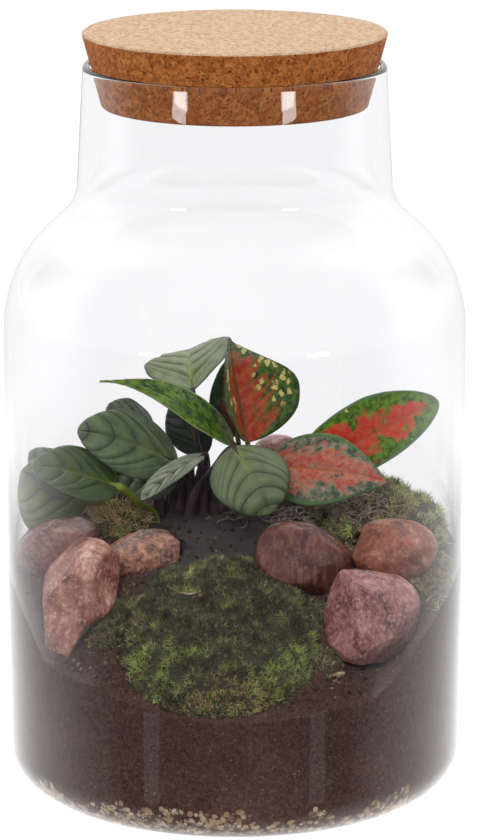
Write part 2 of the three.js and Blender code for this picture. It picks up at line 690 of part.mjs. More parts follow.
terrarium.add(piece('aglaonema_cane', faceted(cane()), FINISHES.cane));
const clasp = cane(SEAT_GAP);
AGLAONEMA_LEAVES.forEach((leaf, i) => {
  const body = leafOnPetiole(leaf).subtract(clasp);
  terrarium.add(piece(`aglaonema_leaf_${i + 1}`, faceted(body), FINISHES.aglaonema));
});
CTENANTHE_LEAVES.forEach((leaf, i) => {
  const body = leafOnPetiole(leaf);
  terrarium.add(piece(`ctenanthe_leaf_${i + 1}`, faceted(body), FINISHES.ctenanthe));
});

export default terrarium;
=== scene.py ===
"""The looks of a glass plant terrarium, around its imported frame.

A corked jar of blown glass holds grit, potting soil, moss, tumbled stones, an aglaonema and a
clump of ctenanthe. Sizes are in millimetres, and become metres where a mesh is made.
"""

import logging
import math
from contextlib import contextmanager
from dataclasses import dataclass, field
from enum import Enum
from typing import Any, Iterator, Sequence

import bmesh
import bpy
import numpy as np
from mathutils import Euler, Matrix, Vector, noise


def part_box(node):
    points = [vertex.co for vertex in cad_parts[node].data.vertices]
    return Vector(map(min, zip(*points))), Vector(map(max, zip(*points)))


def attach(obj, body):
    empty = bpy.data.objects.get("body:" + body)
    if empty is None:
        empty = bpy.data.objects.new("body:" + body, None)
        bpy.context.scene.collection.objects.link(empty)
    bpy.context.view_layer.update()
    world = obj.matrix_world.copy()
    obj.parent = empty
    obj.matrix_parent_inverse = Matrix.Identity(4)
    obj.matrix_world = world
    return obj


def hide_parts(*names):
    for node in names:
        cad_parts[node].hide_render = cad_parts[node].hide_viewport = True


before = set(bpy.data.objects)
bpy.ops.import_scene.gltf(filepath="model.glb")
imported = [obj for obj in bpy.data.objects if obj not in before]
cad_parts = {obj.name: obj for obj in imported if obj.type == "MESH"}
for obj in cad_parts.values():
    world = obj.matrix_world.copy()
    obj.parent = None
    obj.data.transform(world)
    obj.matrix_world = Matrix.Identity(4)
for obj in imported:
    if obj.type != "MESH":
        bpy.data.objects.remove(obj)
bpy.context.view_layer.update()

MM = 0.001
BODY = "root"
LOG = logging.getLogger("terrarium")
# The flat caps of a lathed piece end on a ring of this radius.
POLE = 2.0
# Settings of a node whose range has soft ends.
SOFT = {"interpolation_type": "SMOOTHSTEP"}

Material = bpy.types.Material
Tree = bpy.types.NodeTree
Node = bpy.types.Node
Socket = bpy.types.NodeSocket
Piece = bpy.types.Object
Rows = np.ndarray
Chance = np.random.Generator
Point = tuple[float, float, float]
Pair = tuple[float, float]
Zones = tuple[tuple[Point, float], ...]


def linear(colour: str) -> tuple[float, float, float, float]:
    """Turns an sRGB colour to linear light.

    Args:
        colour: Six hex digits after a hash sign.

    Returns:
        Red, green, blue and an alpha of 1.
    """
    shares = [int(colour[i:i + 2], 16) / 255 for i in (1, 3, 5)]
    light = [s / 12.92 if s <= 0.04045 else ((s + 0.055) / 1.055) ** 2.4 for s in shares]
    return (light[0], light[1], light[2], 1.0)


def sized(place: Any, size: float, **others: float) -> dict[str, Any]:
    """The inputs of a pattern at a place, whose features are that many millimetres wide."""
    return {"Vector": place, "Scale": 1 / (size * MM), **others}


def add_node(
    tree: Tree,
    kind: str,
    inputs: dict[int | str, Any] | Sequence[Any] = (),
    stops: Sequence[tuple[float, str]] = (),
    **settings: Any,
) -> Node:
    """Adds a node with its settings and links.

    Args:
        tree: The node tree that gets the node.
        kind: The node's type after "ShaderNode", and after a full stop its operation.
        inputs: What goes into its inputs, in their order or by name or number: a value, a node,
            whose first output is linked, or an output socket.
        stops: A colour ramp's places, each with a hex colour.
        **settings: The node's own properties.

    Returns:
        The new node.
    """
    kind, _, operation = kind.partition(".")
    node = tree.nodes.new("ShaderNode" + kind)
    if operation:
        node.operation = operation
    for name, value in settings.items():
        setattr(node, name, value)
    for name, value in inputs.items() if isinstance(inputs, dict) else enumerate(inputs):
        if isinstance(value, Node):
            value = value.outputs[0]
        if isinstance(value, Socket):
            tree.links.new(value, node.inputs[name])
        else:
            node.inputs[name].default_value = value
    if stops:
        elements = node.color_ramp.elements
        while len(elements) < len(stops):
            elements.new(1.0)
        for element, (place, colour) in zip(elements, stops):
            element.position = place
            element.color = linear(colour)
    return node


def new_material(name: str) -> tuple[Material, Tree, Any]:
    """Makes an empty material.

    Args:
        name: The material's name.

    Returns:
        The material, its node tree, and the socket with the object coordinates.
    """
    material = bpy.data.materials.new(name)
    material.use_nodes = True
    tree = material.node_tree
    tree.nodes.clear()
    return material, tree, add_node(tree, "TexCoord").outputs["Object"]


def coated(
    material: Material, inputs: dict[int | str, Any], height: Any = None, depth: float = 0.0
) -> Material:
    """Ends a material with one principled shader.

    Args:
        material: The material.
        inputs: What goes into the shader, as for add_node.
        height: The node or socket that holds its relief, from 0 to 1, or none.
        depth: What a height of 1 measures in millimetres.

    Returns:
        The material.
    """
    tree = material.node_tree
    if height is not None:
        bump = add_node(tree, "Bump", {"Height": height, "Distance": depth * MM, "Strength": 1.0})
        inputs = {**inputs, "Normal": bump}
    add_node(tree, "OutputMaterial", {"Surface": add_node(tree, "BsdfPrincipled", inputs)})
    return material


def layered(tree: Tree, colour: Any, *layers: tuple[Any, Any]) -> Any:
    """Lays colours over a colour, one after the other.

    Args:
        tree: The material's node tree.
        colour: The lowest colour, as hex digits, a node or a socket.
        *layers: Each layer's share and its colour, likewise.

    Returns:
        The socket with the colour that shows.
    """
    for share, layer in layers:
        below, above = (linear(c) if isinstance(c, str) else c for c in (colour, layer))
        mixed = add_node(tree, "Mix", {0: share, 6: below, 7: above}, data_type="RGBA")
        colour = mixed.outputs[2]
    return colour


def near(tree: Tree, place: Any, centre: Point, radius: float, soft: float) -> Any:
    """Says where a surface lies within a ball.

    Args:
        tree: The material's node tree.
        place: The socket with the object coordinates.
        centre: The ball's centre in millimetres.
        radius: The ball's radius in millimetres.
        soft: How wide its edge is in millimetres.

    Returns:
        A node whose value falls from 1 inside to 0 outside.
    """
    middle = tuple(value * MM for value in centre)
    away = add_node(tree, "VectorMath.DISTANCE", [place, middle])
    return add_node(
        tree, "MapRange", [away.outputs["Value"], (radius + soft / 2) * MM,
        (radius - soft / 2) * MM], **SOFT
    )


def strayed(tree: Tree, place: Any, size: float, reach: float) -> Node:
    """Shakes a place, so that a pattern drawn there has ragged edges.

    Args:
        tree: The material's node tree.
        place: The socket with the object coordinates.
        size: The size of the shakes in millimetres.
        reach: How far apart they can move two places, in millimetres.

    Returns:
        The node with the shaken place.
    """
    wobble = add_node(tree, "TexNoise", sized(place, size, Detail=3.0))
    shifted = add_node(tree, "VectorMath.SUBTRACT", [wobble.outputs["Color"], (0.5, 0.5, 0.5)])
    return add_node(tree, "VectorMath.MULTIPLY_ADD", [shifted, (reach * MM,) * 3, place])


@dataclass(frozen=True)
class BlownGlass:
    """Clear soda-lime glass, blown in a mould and fire-polished.

    It bends what lies behind it and mirrors the studio at its flanks. Lamps shine through it.
    """

    colour: str = "#fdfdfe"
    shade: str = "#fafafa"
    ior: float = 1.5

    def material(self) -> Material:
        """Makes the glass."""
        material, tree, _ = new_material("blown_soda_lime_glass")
        glass = add_node(
            tree, "BsdfPrincipled", {"Base Color": linear(self.colour), "Roughness": 0.0,
            "IOR": self.ior, "Transmission Weight": 1.0}
        )
        clear = add_node(tree, "BsdfTransparent", {"Color": linear(self.shade)})
        rays = add_node(tree, "LightPath").outputs
        passed = add_node(tree, "Math.MAXIMUM", [rays["Is Shadow Ray"], rays["Is Diffuse Ray"]])
        mixed = add_node(tree, "MixShader", [passed, glass, clear])
        add_node(tree, "OutputMaterial", {"Surface": mixed})
        return material


@dataclass(frozen=True)
class PressedCork:
    """Agglomerated cork: granules of bark pressed with a binder, turned and sanded.

    The cut side shows brown granules with dark seams, and the sanded top is paler and finer.
    """

    name: str
    granule: float
    fine: float
    dark: str
    middle: str
    light: str
    pit: str
    relief: float
    pit_size: float = 0.9
    ragged_size: float = 2.0
    ragged_reach: float = 3.0
    fine_share: float = 0.68

    def material(self) -> Material:
        """Makes the cork."""
        material, tree, place = new_material(self.name)
        ragged = strayed(tree, place, self.ragged_size, self.ragged_reach)
        granules = add_node(tree, "TexVoronoi", sized(ragged, self.granule))
        speckle = add_node(tree, "TexNoise", sized(place, self.fine, Detail=6.0, Roughness=0.75))
        tone = add_node(tree, "Mix", {0: self.fine_share, 2: granules.outputs["Color"], 3: speckle})
        stops = [(0.36, self.dark), (0.5, self.middle), (0.66, self.light)]
        body = add_node(tree, "ValToRGB", [tone], stops)
        dots = add_node(
            tree, "TexNoise", sized(ragged, self.pit_size, Detail=3.0, Roughness=0.6,
            Lacunarity=2.4)
        )
        pits = add_node(tree, "MapRange", [dots, 0.42, 0.34])
        colour = layered(tree, body, (pits, self.pit))
        height = add_node(tree, "Math.SUBTRACT", [tone, pits])
        looks = {"Base Color": colour, "Roughness": 0.85, "Specular IOR Level": 0.25}
        return coated(material, looks, height, self.relief)


CORK_SIDE = PressedCork(
    name="pressed_cork_side", granule=2.2, fine=1.3, dark="#a55a28", middle="#c47339",
    light="#dd8d4b", pit="#5d2e12", relief=0.25,
)
CORK_TOP = PressedCork(
    name="sanded_cork_top", granule=1.6, fine=0.9, dark="#ad8d72", middle="#bea083",
    light="#caaf93", pit="#907153", relief=0.1,
)


@dataclass(frozen=True)
class Compost:
    """Moist potting compost pressed against glass: dark fibre with a few pale specks.

    Round the plants their nursery compost is nearly black.
    """

    dark: str = "#33231f"
    middle: str = "#4c3936"
    light: str = "#664f49"
    speck: str = "#8f7866"
    fibre: str = "#7d5e4c"
    root_ball: str = "#4f4b4b"
    root_ball_at: Point = (-2.0, -10.0, 100.0)
    root_ball_radius: float = 40.0
    root_ball_edge: float = 16.0
    crumb: float = 1.6
    patch: float = 26.0
    speck_size: float = 1.5
    hair_size: float = 0.8
    relief: float = 0.9

    def material(self) -> Material:
        """Makes the compost."""
        material, tree, place = new_material("potting_compost")
        crumbs = add_node(tree, "TexNoise", sized(place, self.crumb, Detail=6.0, Roughness=0.72))
        patches = add_node(tree, "TexNoise", sized(place, self.patch, Detail=2.0))
        tone = add_node(tree, "Mix", {0: 0.3, 2: crumbs, 3: patches})
        stops = [(0.34, self.dark), (0.5, self.middle), (0.68, self.light)]
        body = add_node(tree, "ValToRGB", [tone], stops)
        cells = add_node(tree, "TexVoronoi", sized(place, self.speck_size))
        split = add_node(tree, "SeparateColor", [cells.outputs["Color"]])
        chosen = add_node(tree, "Math.GREATER_THAN", [split, 0.95])
        small = add_node(tree, "Math.LESS_THAN", [cells.outputs["Distance"], 0.2])
        speck = add_node(tree, "Math.MULTIPLY", [chosen, small])
        hairs = add_node(tree, "TexNoise", sized(place, self.hair_size, Detail=2.0, Distortion=2.5))
        hair = add_node(tree, "MapRange", [hairs, 0.58, 0.66, 0.0, 0.9])
        ball = near(tree, place, self.root_ball_at, self.root_ball_radius, self.root_ball_edge)
        colour = layered(
            tree, body, (hair, self.fibre), (speck, self.speck), (ball, self.root_ball)
        )
        looks = {"Base Color": colour, "Roughness": 0.9, "Specular IOR Level": 0.03}
        return coated(material, looks, crumbs, self.relief)


@dataclass(frozen=True)
class TumbledStone:
    """Quartz-rich stone, tumbled until it is satin: cloudy colour, iron stains and pale grains.

    A stain is a colour, its place and its radius in millimetres. Streaks run along a direction
    that is turned by some degrees about each axis.
    """

    name: str
    dark: str
    base: str
    light: str
    speck: str
    stains: tuple[tuple[str, Point, float], ...] = ()
    speck_share: float = 0.1
    cloud_size: float = 10.0
    streak: str = "#8f5a50"
    streak_share: float = 0.0
    streak_turn: Point = (0.0, 0.0, 0.0)
    streak_size: float = 13.0
    streak_stretch: Point = (6.0, 6.0, 0.8)
    ragged_size: float = 4.5
    grain_size: float = 1.5
    relief: float = 0.22
    roughness: float = 0.3

    def material(self) -> Material:
        """Makes the stone."""
        material, tree, place = new_material(self.name)
        clouds = add_node(
            tree, "TexNoise", sized(place, self.cloud_size, Detail=9.0, Roughness=0.68,
            Distortion=0.5)
        )
        stops = [(0.36, self.dark), (0.46, self.base), (0.57, self.light), (0.68, self.speck)]
        body = add_node(tree, "ValToRGB", [clouds], stops)
        turned = add_node(tree, "Mapping", {
            "Vector": place, "Rotation": [math.radians(a) for a in self.streak_turn],
            "Scale": self.streak_stretch,
        })
        streaks = add_node(
            tree, "TexNoise", sized(turned, self.streak_size, Detail=6.0, Roughness=0.6)
        )
        streaky = add_node(tree, "MapRange", [streaks, 0.47, 0.6, 0.0, self.streak_share])
        broken = add_node(
            tree, "TexNoise", sized(place, self.ragged_size, Detail=7.0, Roughness=0.7)
        )
        layers = [(streaky, self.streak)]
        for stain, centre, radius in self.stains:
            ball = near(tree, place, centre, 0.3 * radius, 2.2 * radius)
            ragged = add_node(tree, "Math.MULTIPLY_ADD", [ball, 0.5, broken])
            share = add_node(tree, "MapRange", [ragged, 0.78, 0.95, 0.0, 0.85])
            layers.append((share, stain))
        grains = add_node(
            tree, "TexNoise", sized(place, self.grain_size, Detail=4.0, Roughness=0.7)
        )
        pale = add_node(tree, "MapRange", [grains, 0.64 - self.speck_share, 0.7, 0.0, 0.85])
        pits = add_node(tree, "MapRange", [grains, 0.38, 0.3, 0.0, 0.5])
        colour = layered(tree, body, *layers, (pale, self.speck), (pits, self.dark))
        height = add_node(tree, "Mix", {0: 0.5, 2: grains, 3: broken})
        looks = {"Base Color": colour, "Roughness": self.roughness, "IOR": 1.6}
        return coated(material, looks, height, self.relief)


@dataclass(frozen=True)
class Tinted:
    """A finish for many small copies, whose tint attribute picks each copy's colour."""

    name: str
    colours: tuple[tuple[float, str], ...]
    roughness: float = 0.8
    grain: float = 0.6
    relief: float = 0.1

    def material(self) -> Material:
        """Makes the finish."""
        material, tree, place = new_material(self.name)
        tint = add_node(tree, "Attribute", attribute_name="tint")
        grain = add_node(tree, "TexNoise", sized(place, self.grain, Detail=3.0))
        nudge = add_node(tree, "MapRange", [grain, 0.3, 0.7, -0.07, 0.07])
        tone = add_node(tree, "Math.ADD", [tint.outputs["Fac"], nudge])
        colour = add_node(tree, "ValToRGB", [tone], self.colours)
        looks = {"Base Color": colour, "Roughness": self.roughness, "Specular IOR Level": 0.3}
        return coated(material, looks, grain, self.relief)


RIVER_GRIT = Tinted(
    name="washed_river_grit", grain=0.5,
    colours=(
        (0.0, "#4e423d"), (0.3, "#7a6655"), (0.6, "#977e61"), (0.85, "#a79073"), (1.0, "#b7aa9d"),
    ),
)
MOSS_SHOOTS = Tinted(
    name="cushion_moss", roughness=0.6, grain=2.0, relief=0.02,
    colours=(
        (0.0, "#373229"), (0.2, "#5d5a4b"), (0.42, "#817f63"), (0.62, "#a1b065"), (0.76, "#cad785"),
        (0.82, "#a79165"), (0.92, "#c8aa7a"), (1.0, "#ecd3ba"),
    ),
)
MOSS_CORE = Tinted("moss_peat", ((0.0, "#413c32"), (1.0, "#70624b")), grain=1.2, relief=0.6)
ROOT_FIBRE = Tinted("root_fibre", ((0.0, "#2c211e"), (0.6, "#55433a"), (1.0, "#8a7763")))


@dataclass(frozen=True)
class Veins:
    """How the side veins of a leaf run: they leave the midrib in pairs and sweep to the tip."""

    pairs: float
    sweep: float
    bend: float
    groove: float
    width: float
    quilt: float

    def phase(self, station: Any, reach: Any) -> Any:
        """The number of a vein at a place, whole on a vein.

        Args:
            station: The share of the way from base to tip.
            reach: The share of the way from midrib to margin.

        Returns:
            The vein's number, and the share of the way to the next.
        """
        lag = self.sweep * reach ** self.bend
        return self.pairs * (station - lag) / (1 - lag)

    def relief(self, station: Any, reach: Any) -> Any:
        """The height of the blade, sunk along its veins and its midrib.

        Args:
            station: The place along the midrib, from 0 at its base to 1 at the tip.
            reach: The way from the midrib to the edge, from 0 to 1.

        Returns:
            The height in millimetres.
        """
        number = self.phase(station, reach)
        away = np.abs(number - np.round(number))
        fade = np.clip(reach / 0.1, 0, 1) * np.clip((1 - reach) / 0.12, 0, 1)
        fade *= np.clip((number - 0.4) / 0.3, 0, 1)
        fade *= np.clip((self.pairs - 0.3 - number) / 0.4, 0, 1)
        panel = self.quilt * (1 - (1 - 2 * away) ** 2)
        vein = self.groove * np.exp(-((away / self.width) ** 2))
        midrib = 1.5 * self.groove * np.exp(-((reach / 0.07) ** 2))
        return (panel - vein) * fade - midrib


CTENANTHE_VEINS = Veins(pairs=4.4, sweep=0.68, bend=1.4, groove=0.4, width=0.07, quilt=0.45)
AGLAONEMA_VEINS = Veins(pairs=8.0, sweep=0.55, bend=1.15, groove=0.16, width=0.16, quilt=0.08)


@dataclass(frozen=True)
class LeafPlaces:
    """Sockets that say where a point of a blade lies, read from the blade's UV map."""

    reach: Any
    station: Any
    phase: Any
    side: Any

    @classmethod
    def of(cls, tree: Tree, veins: Veins) -> "LeafPlaces":
        """Adds the nodes that read a blade's UV map.

        Args:
            tree: The material's node tree.
            veins: How the side veins run.

        Returns:
            The places, with reach from midrib to margin, station from base to tip, the veins'
            phase, and which side of the midrib it is.
        """
        split = add_node(tree, "SeparateXYZ", [add_node(tree, "TexCoord").outputs["UV"]])
        across, station = split.outputs[0], split.outputs[1]
        centred = add_node(tree, "Math.MULTIPLY_ADD", [across, 2.0, -1.0])
        reach = add_node(tree, "Math.ABSOLUTE", [centred]).outputs[0]
        bent = add_node(tree, "Math.POWER", [reach, veins.bend])
        ahead, left = (
            add_node(tree, "Math.MULTIPLY_ADD", [bent, -veins.sweep, end])
            for end in (station, 1.0)
        )
        share = add_node(tree, "Math.DIVIDE", [ahead, left])
        phase = add_node(tree, "Math.MULTIPLY", [share, veins.pairs]).outputs[0]
        return cls(reach, station, phase, across)


@dataclass(frozen=True)
class CtenantheBlade:
    """A satin grey-green blade with sunken dark veins and a yellow-green midrib at its base."""

    name: str
    green: str = "#566b50"
    light: str = "#75896a"
    vein: str = "#27382a"
    midrib: str = "#7f9145"
    margin: str = "#3a4a3a"
    midrib_reach: float = 0.3
    vein_share: float = 0.85
    mottle: float = 5.0

    def material(self) -> Material:
        """Makes the blade's upper side."""
        material, tree, place = new_material(self.name)
        leaf = LeafPlaces.of(tree, CTENANTHE_VEINS)
        mottle = add_node(tree, "TexNoise", sized(place, self.mottle, Detail=4.0))
        whole = add_node(tree, "Math.ROUND", [leaf.phase])
        between = add_node(tree, "Math.SUBTRACT", [leaf.phase, whole])
        off = add_node(tree, "Math.ABSOLUTE", [between])
        # Painted light: each panel between two veins is lighter towards its middle, where its swell would
        # catch the light.
        swell = add_node(tree, "MapRange", [off, 0.05, 0.5])
        panel = add_node(tree, "Mix", {0: 0.3, 2: mottle, 3: swell})
        body = add_node(tree, "ValToRGB", [panel], [(0.3, self.green), (0.7, self.light)])
        line = add_node(tree, "MapRange", [off, 0.08, 0.03, 0.0, self.vein_share])
        begun = add_node(tree, "MapRange", [leaf.phase, 0.5, 0.8])
        drawn = add_node(tree, "Math.MULTIPLY", [line, begun])
        rim = add_node(tree, "MapRange", [leaf.reach, 0.86, 1.0, 0.0, 0.8])
        rib = add_node(tree, "MapRange", [leaf.reach, 0.16, 0.0])
        young = add_node(tree, "MapRange", [leaf.station, self.midrib_reach * 2, 0.0])
        glow = add_node(tree, "Math.MULTIPLY", [rib, young])
        colour = layered(tree, body, (drawn, self.vein), (rim, self.margin), (glow, self.midrib))
        looks = {"Base Color": colour, "Roughness": 0.4, "Specular IOR Level": 0.6}
        return coated(material, looks)


@dataclass(frozen=True)
class AglaonemaBlade:
    """A waxy blade that breaks into red along its side veins, with cream flecks and a green rim.

    Shares and places from midrib to margin or from base to tip go from 0 to 1.
    """

    name: str
    dark: str = "#1c3a18"
    green: str = "#3d6a1c"
    red: str = "#d0402e"
    second: str = "#d87650"
    fleck: str = "#d3cb86"
    rim: str = "#1c3a18"
    midrib: str = "#2c4a22"
    red_share: float = 0.5
    fleck_share: float = 0.3
    fleck_count: float = 0.6
    red_reach: float = 0.6
    seed: float = 0.0
    blotch: float = 8.0
    blotch_share: float = 0.42
    fine: float = 1.7
    run: float = 3.2
    mottle: float = 2.2
    fleck_size: float = 3.6
    fleck_from: float = 0.32
    fleck_above: float = 0.1
    ragged_size: float = 1.6
    ragged_reach: float = 2.6
    rim_from: float = 0.91
    red_end: float = 1.2

    def material(self) -> Material:
        """Makes the blade's upper side."""
        material, tree, place = new_material(self.name)
        leaf = LeafPlaces.of(tree, AGLAONEMA_VEINS)
        drawn = self.redness(tree, leaf, place)
        edge = 0.6 - 0.24 * self.red_share
        red = add_node(tree, "MapRange", [drawn, edge, edge + 0.06])
        shade = add_node(
            tree, "TexNoise", sized(place, self.mottle, Detail=5.0, Roughness=0.66, Distortion=0.25)
        )
        greens = add_node(tree, "ValToRGB", [shade], [(0.4, self.dark), (0.6, self.green)])
        reds = add_node(tree, "ValToRGB", [shade], [(0.42, self.red), (0.62, self.second)])
        ends = add_node(tree, "MapRange", [drawn, edge + 0.12, edge + 0.03, 0.0, 0.8])
        streaked = layered(tree, reds, (ends, self.second))
        flecks = self.flecks(tree, leaf, place)
        rim = add_node(
            tree, "MapRange", [leaf.reach, self.rim_from, self.rim_from + 0.04, 0.0, 0.85]
        )
        rib = add_node(tree, "MapRange", [leaf.reach, 0.05, 0.02, 0.0, 0.8])
        colour = layered(
            tree, greens, (red, streaked), (flecks, self.fleck), (rim, self.rim), (rib, self.midrib)
        )
        looks = {"Base Color": colour, "Roughness": 0.38, "Specular IOR Level": 0.42}
        return coated(material, looks)

    def redness(self, tree: Tree, leaf: LeafPlaces, place: Any) -> Node:
        """Adds the pattern of red blotches, which run along the veins.

        Args:
            tree: The material's node tree.
            leaf: Where a point lies on the blade.
            place: The socket with the object coordinates.

        Returns:
            The node whose value is higher where the blade turns red.
        """
        ordered = add_node(tree, "CombineXYZ", [leaf.phase, leaf.side, self.seed])
        along_veins = add_node(
            tree, "Mapping", {"Vector": ordered, "Scale": (self.fine, self.run, 1.0)}
        )
        streaks = add_node(
            tree, "TexNoise", {"Vector": along_veins, "Scale": 1.0, "Detail": 4.0,
            "Roughness": 0.62}
        )
        blotches = add_node(
            tree, "TexNoise", sized(place, self.blotch, Detail=5.0, Roughness=0.62, Distortion=0.4)
        )
        broken = add_node(tree, "Mix", {0: self.blotch_share, 2: streaks, 3: blotches})
        inward = add_node(
            tree, "MapRange", [leaf.reach, self.red_reach - 0.3, self.red_reach + 0.35, 0.05, -0.17]
        )
        ended = add_node(
            tree, "MapRange", [leaf.station, self.red_end - 0.25, self.red_end, 0.0, -0.15]
        )
        placed = add_node(tree, "Math.ADD", [broken, inward])
        return add_node(tree, "Math.ADD", [placed, ended])

    def flecks(self, tree: Tree, leaf: LeafPlaces, place: Any) -> Node:
        """Adds oval cream flecks to the outer part of the blade.

        Args:
            tree: The material's node tree.
            leaf: Where a point lies on the blade.
            place: The socket with the object coordinates.

        Returns:
            The node with the flecks' share.
        """
        ragged = strayed(tree, place, self.ragged_size, self.ragged_reach)
        cells = add_node(tree, "TexVoronoi", sized(ragged, self.fleck_size))
        share = add_node(
            tree, "MapRange", [cells.outputs["Distance"], self.fleck_share, 0.8 * self.fleck_share]
        )
        split = add_node(tree, "SeparateColor", [cells.outputs["Color"]])
        some = add_node(tree, "Math.LESS_THAN", [split, self.fleck_count])
        outer = add_node(tree, "MapRange", [leaf.reach, self.fleck_from, self.fleck_from + 0.1])
        upper = add_node(
            tree, "MapRange", [leaf.station, self.fleck_above - 0.05, self.fleck_above + 0.05]
        )
        for mask in (some, outer, upper):
            share = add_node(tree, "Math.MULTIPLY", [share, mask])
        return share


@dataclass(frozen=True)
class PlantSkin:
    """The plain skin of a stalk or of a blade's underside: two tones that drift into each other."""

    name: str
    first: str
    second: str
    drift: float = 6.0
    roughness: float = 0.5
    ridge: float = 0.8
    relief: float = 0.08

    def material(self) -> Material:
        """Makes the skin."""
        material, tree, place = new_material(self.name)
        tone, ridges = (
            add_node(tree, "TexNoise", sized(place, size, Detail=detail))
            for size, detail in ((self.drift, 3.0), (self.ridge, 2.0))
        )
        colour = add_node(tree, "ValToRGB", [tone], [(0.4, self.first), (0.6, self.second)])
        looks = {"Base Color": colour, "Roughness": self.roughness}
        return coated(material, looks, ridges, self.relief)


PURPLE_STALK = PlantSkin("ctenanthe_stalk", "#362a2e", "#4f3b40")
GREEN_SHEATH = PlantSkin("ctenanthe_sheath", "#6a7a24", "#869338")
GREEN_UNDERSIDE = PlantSkin("ctenanthe_pale_underside", "#5c6a48", "#75825a")
PURPLE_UNDERSIDE = PlantSkin("ctenanthe_underside", "#3b2c30", "#4f3f3c")
AGLAONEMA_STALK = PlantSkin("aglaonema_stalk", "#5a4a2c", "#7d4a3a")
AGLAONEMA_UNDERSIDE = PlantSkin("aglaonema_underside", "#64755a", "#7b8a70")
CANE_SKIN = PlantSkin("aglaonema_cane", "#4a5230", "#6a6a3e", 4.0)
DARK_ROOT = PlantSkin("wet_roots", "#74685c", "#a18f7c", 2.0)
PALE_BARK = PlantSkin("dry_bark", "#8a7458", "#b8a184", 2.0, 0.8)


def deselect() -> None:
    """Leaves edit mode and deselects everything."""
    if bpy.context.mode != "OBJECT":
        bpy.ops.object.mode_set(mode="OBJECT")
    bpy.ops.object.select_all(action="DESELECT")


def activate(piece: Piece) -> None:
    """Selects one object alone and makes it the active one."""
    deselect()
    piece.select_set(True)
    bpy.context.view_layer.objects.active = piece


@contextmanager
def editing() -> Iterator[None]:
    """Edit mode on the active object with all of it selected, and object mode again after it."""
    bpy.ops.object.mode_set(mode="EDIT")
    bpy.ops.mesh.select_all(action="SELECT")
    yield
    bpy.ops.object.mode_set(mode="OBJECT")


def named(name: str) -> Piece:
    """Names the object that an operator has just added, with its place put in its mesh.

    Args:
        name: The new name of the object and its mesh.

    Returns:
        The object.
    """
    piece = bpy.context.active_object
    piece.name = name
    piece.data.name = name
    activate(piece)
    bpy.ops.object.transform_apply(location=True, rotation=True, scale=True)
    return piece


def modify(piece: Piece, kind: str, **settings: Any) -> None:
    """Adds a modifier and applies it.

    Args:
        piece: The object to modify.
        kind: The modifier's type.
        **settings: The modifier's own properties.
    """
    activate(piece)
    modifier = piece.modifiers.new(kind.lower(), kind)
    for name, value in settings.items():
        setattr(modifier, name, value)
    bpy.ops.object.modifier_apply(modifier=modifier.name)


def remesh(piece: Piece, voxel: float) -> None:
    """Gives a piece an even mesh, whose faces are that many millimetres wide."""
    piece.data.remesh_voxel_size = voxel * MM
    activate(piece)
    bpy.ops.object.voxel_remesh()


def points_of(piece: Piece) -> Rows:
    """The places of an object's corners, one row each, in millimetres."""
    places = np.empty(len(piece.data.vertices) * 3)
    piece.data.vertices.foreach_get("co", places)
    return places.reshape(-1, 3) / MM


def move_points(piece: Piece, places: Rows) -> None:
    """Puts an object's corners at new places, in millimetres."""
    piece.data.vertices.foreach_set("co", (places * MM).ravel())
    piece.data.update()


def normals_of(piece: Piece) -> Rows:
    """The normals at an object's corners, one row each."""
    ways = np.empty(len(piece.data.vertices) * 3)
    piece.data.vertices.foreach_get("normal", ways)
    return ways.reshape(-1, 3)


def smoothstep(low: float, high: float, value: Rows) -> Rows:
    """A soft step from 0 at low to 1 at high."""
    share = np.clip((value - low) / (high - low), 0, 1)
    return share * share * (3 - 2 * share)


def unit(ways: Rows) -> Rows:
    """Vectors along the last axis, scaled to length 1."""
    return ways / np.linalg.norm(ways, axis=-1, keepdims=True)


def grain_field(places: Rows, size: float, seed: int, octaves: int = 3) -> Rows:
    """A rough field from about -1 to 1 at each place.

    Args:
        places: The places in millimetres.
        size: The width of its largest lumps in millimetres.
        seed: Which of its many forms it takes.
        octaves: How many times finer lumps are added.

    Returns:
        One number for each place.
    """
    shift = Vector((seed * 7.3, seed * 3.1, seed * 1.7))
    return np.array(
        [noise.fractal(Vector(place) / size + shift, 1.0, 2.0, octaves) for place in places]
    )


def copy_of_node(node: str, name: str) -> Piece:
    """Copies a solid of the frame as a new piece with merged corners.

    Args:
        node: The solid's node.
        name: The new piece's name.

    Returns:
        The new piece, which stands alone and has no material.
    """
    piece = bpy.data.objects.new(name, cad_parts[node].data.copy())
    piece.data.name = name
    piece.data.materials.clear()
    bpy.context.scene.collection.objects.link(piece)
    activate(piece)
    if piece.data.has_custom_normals:
        bpy.ops.mesh.customdata_custom_splitnormals_clear()
    with editing():
        bpy.ops.mesh.remove_doubles(threshold=0.001 * MM)
    bpy.ops.object.shade_smooth()
    return piece


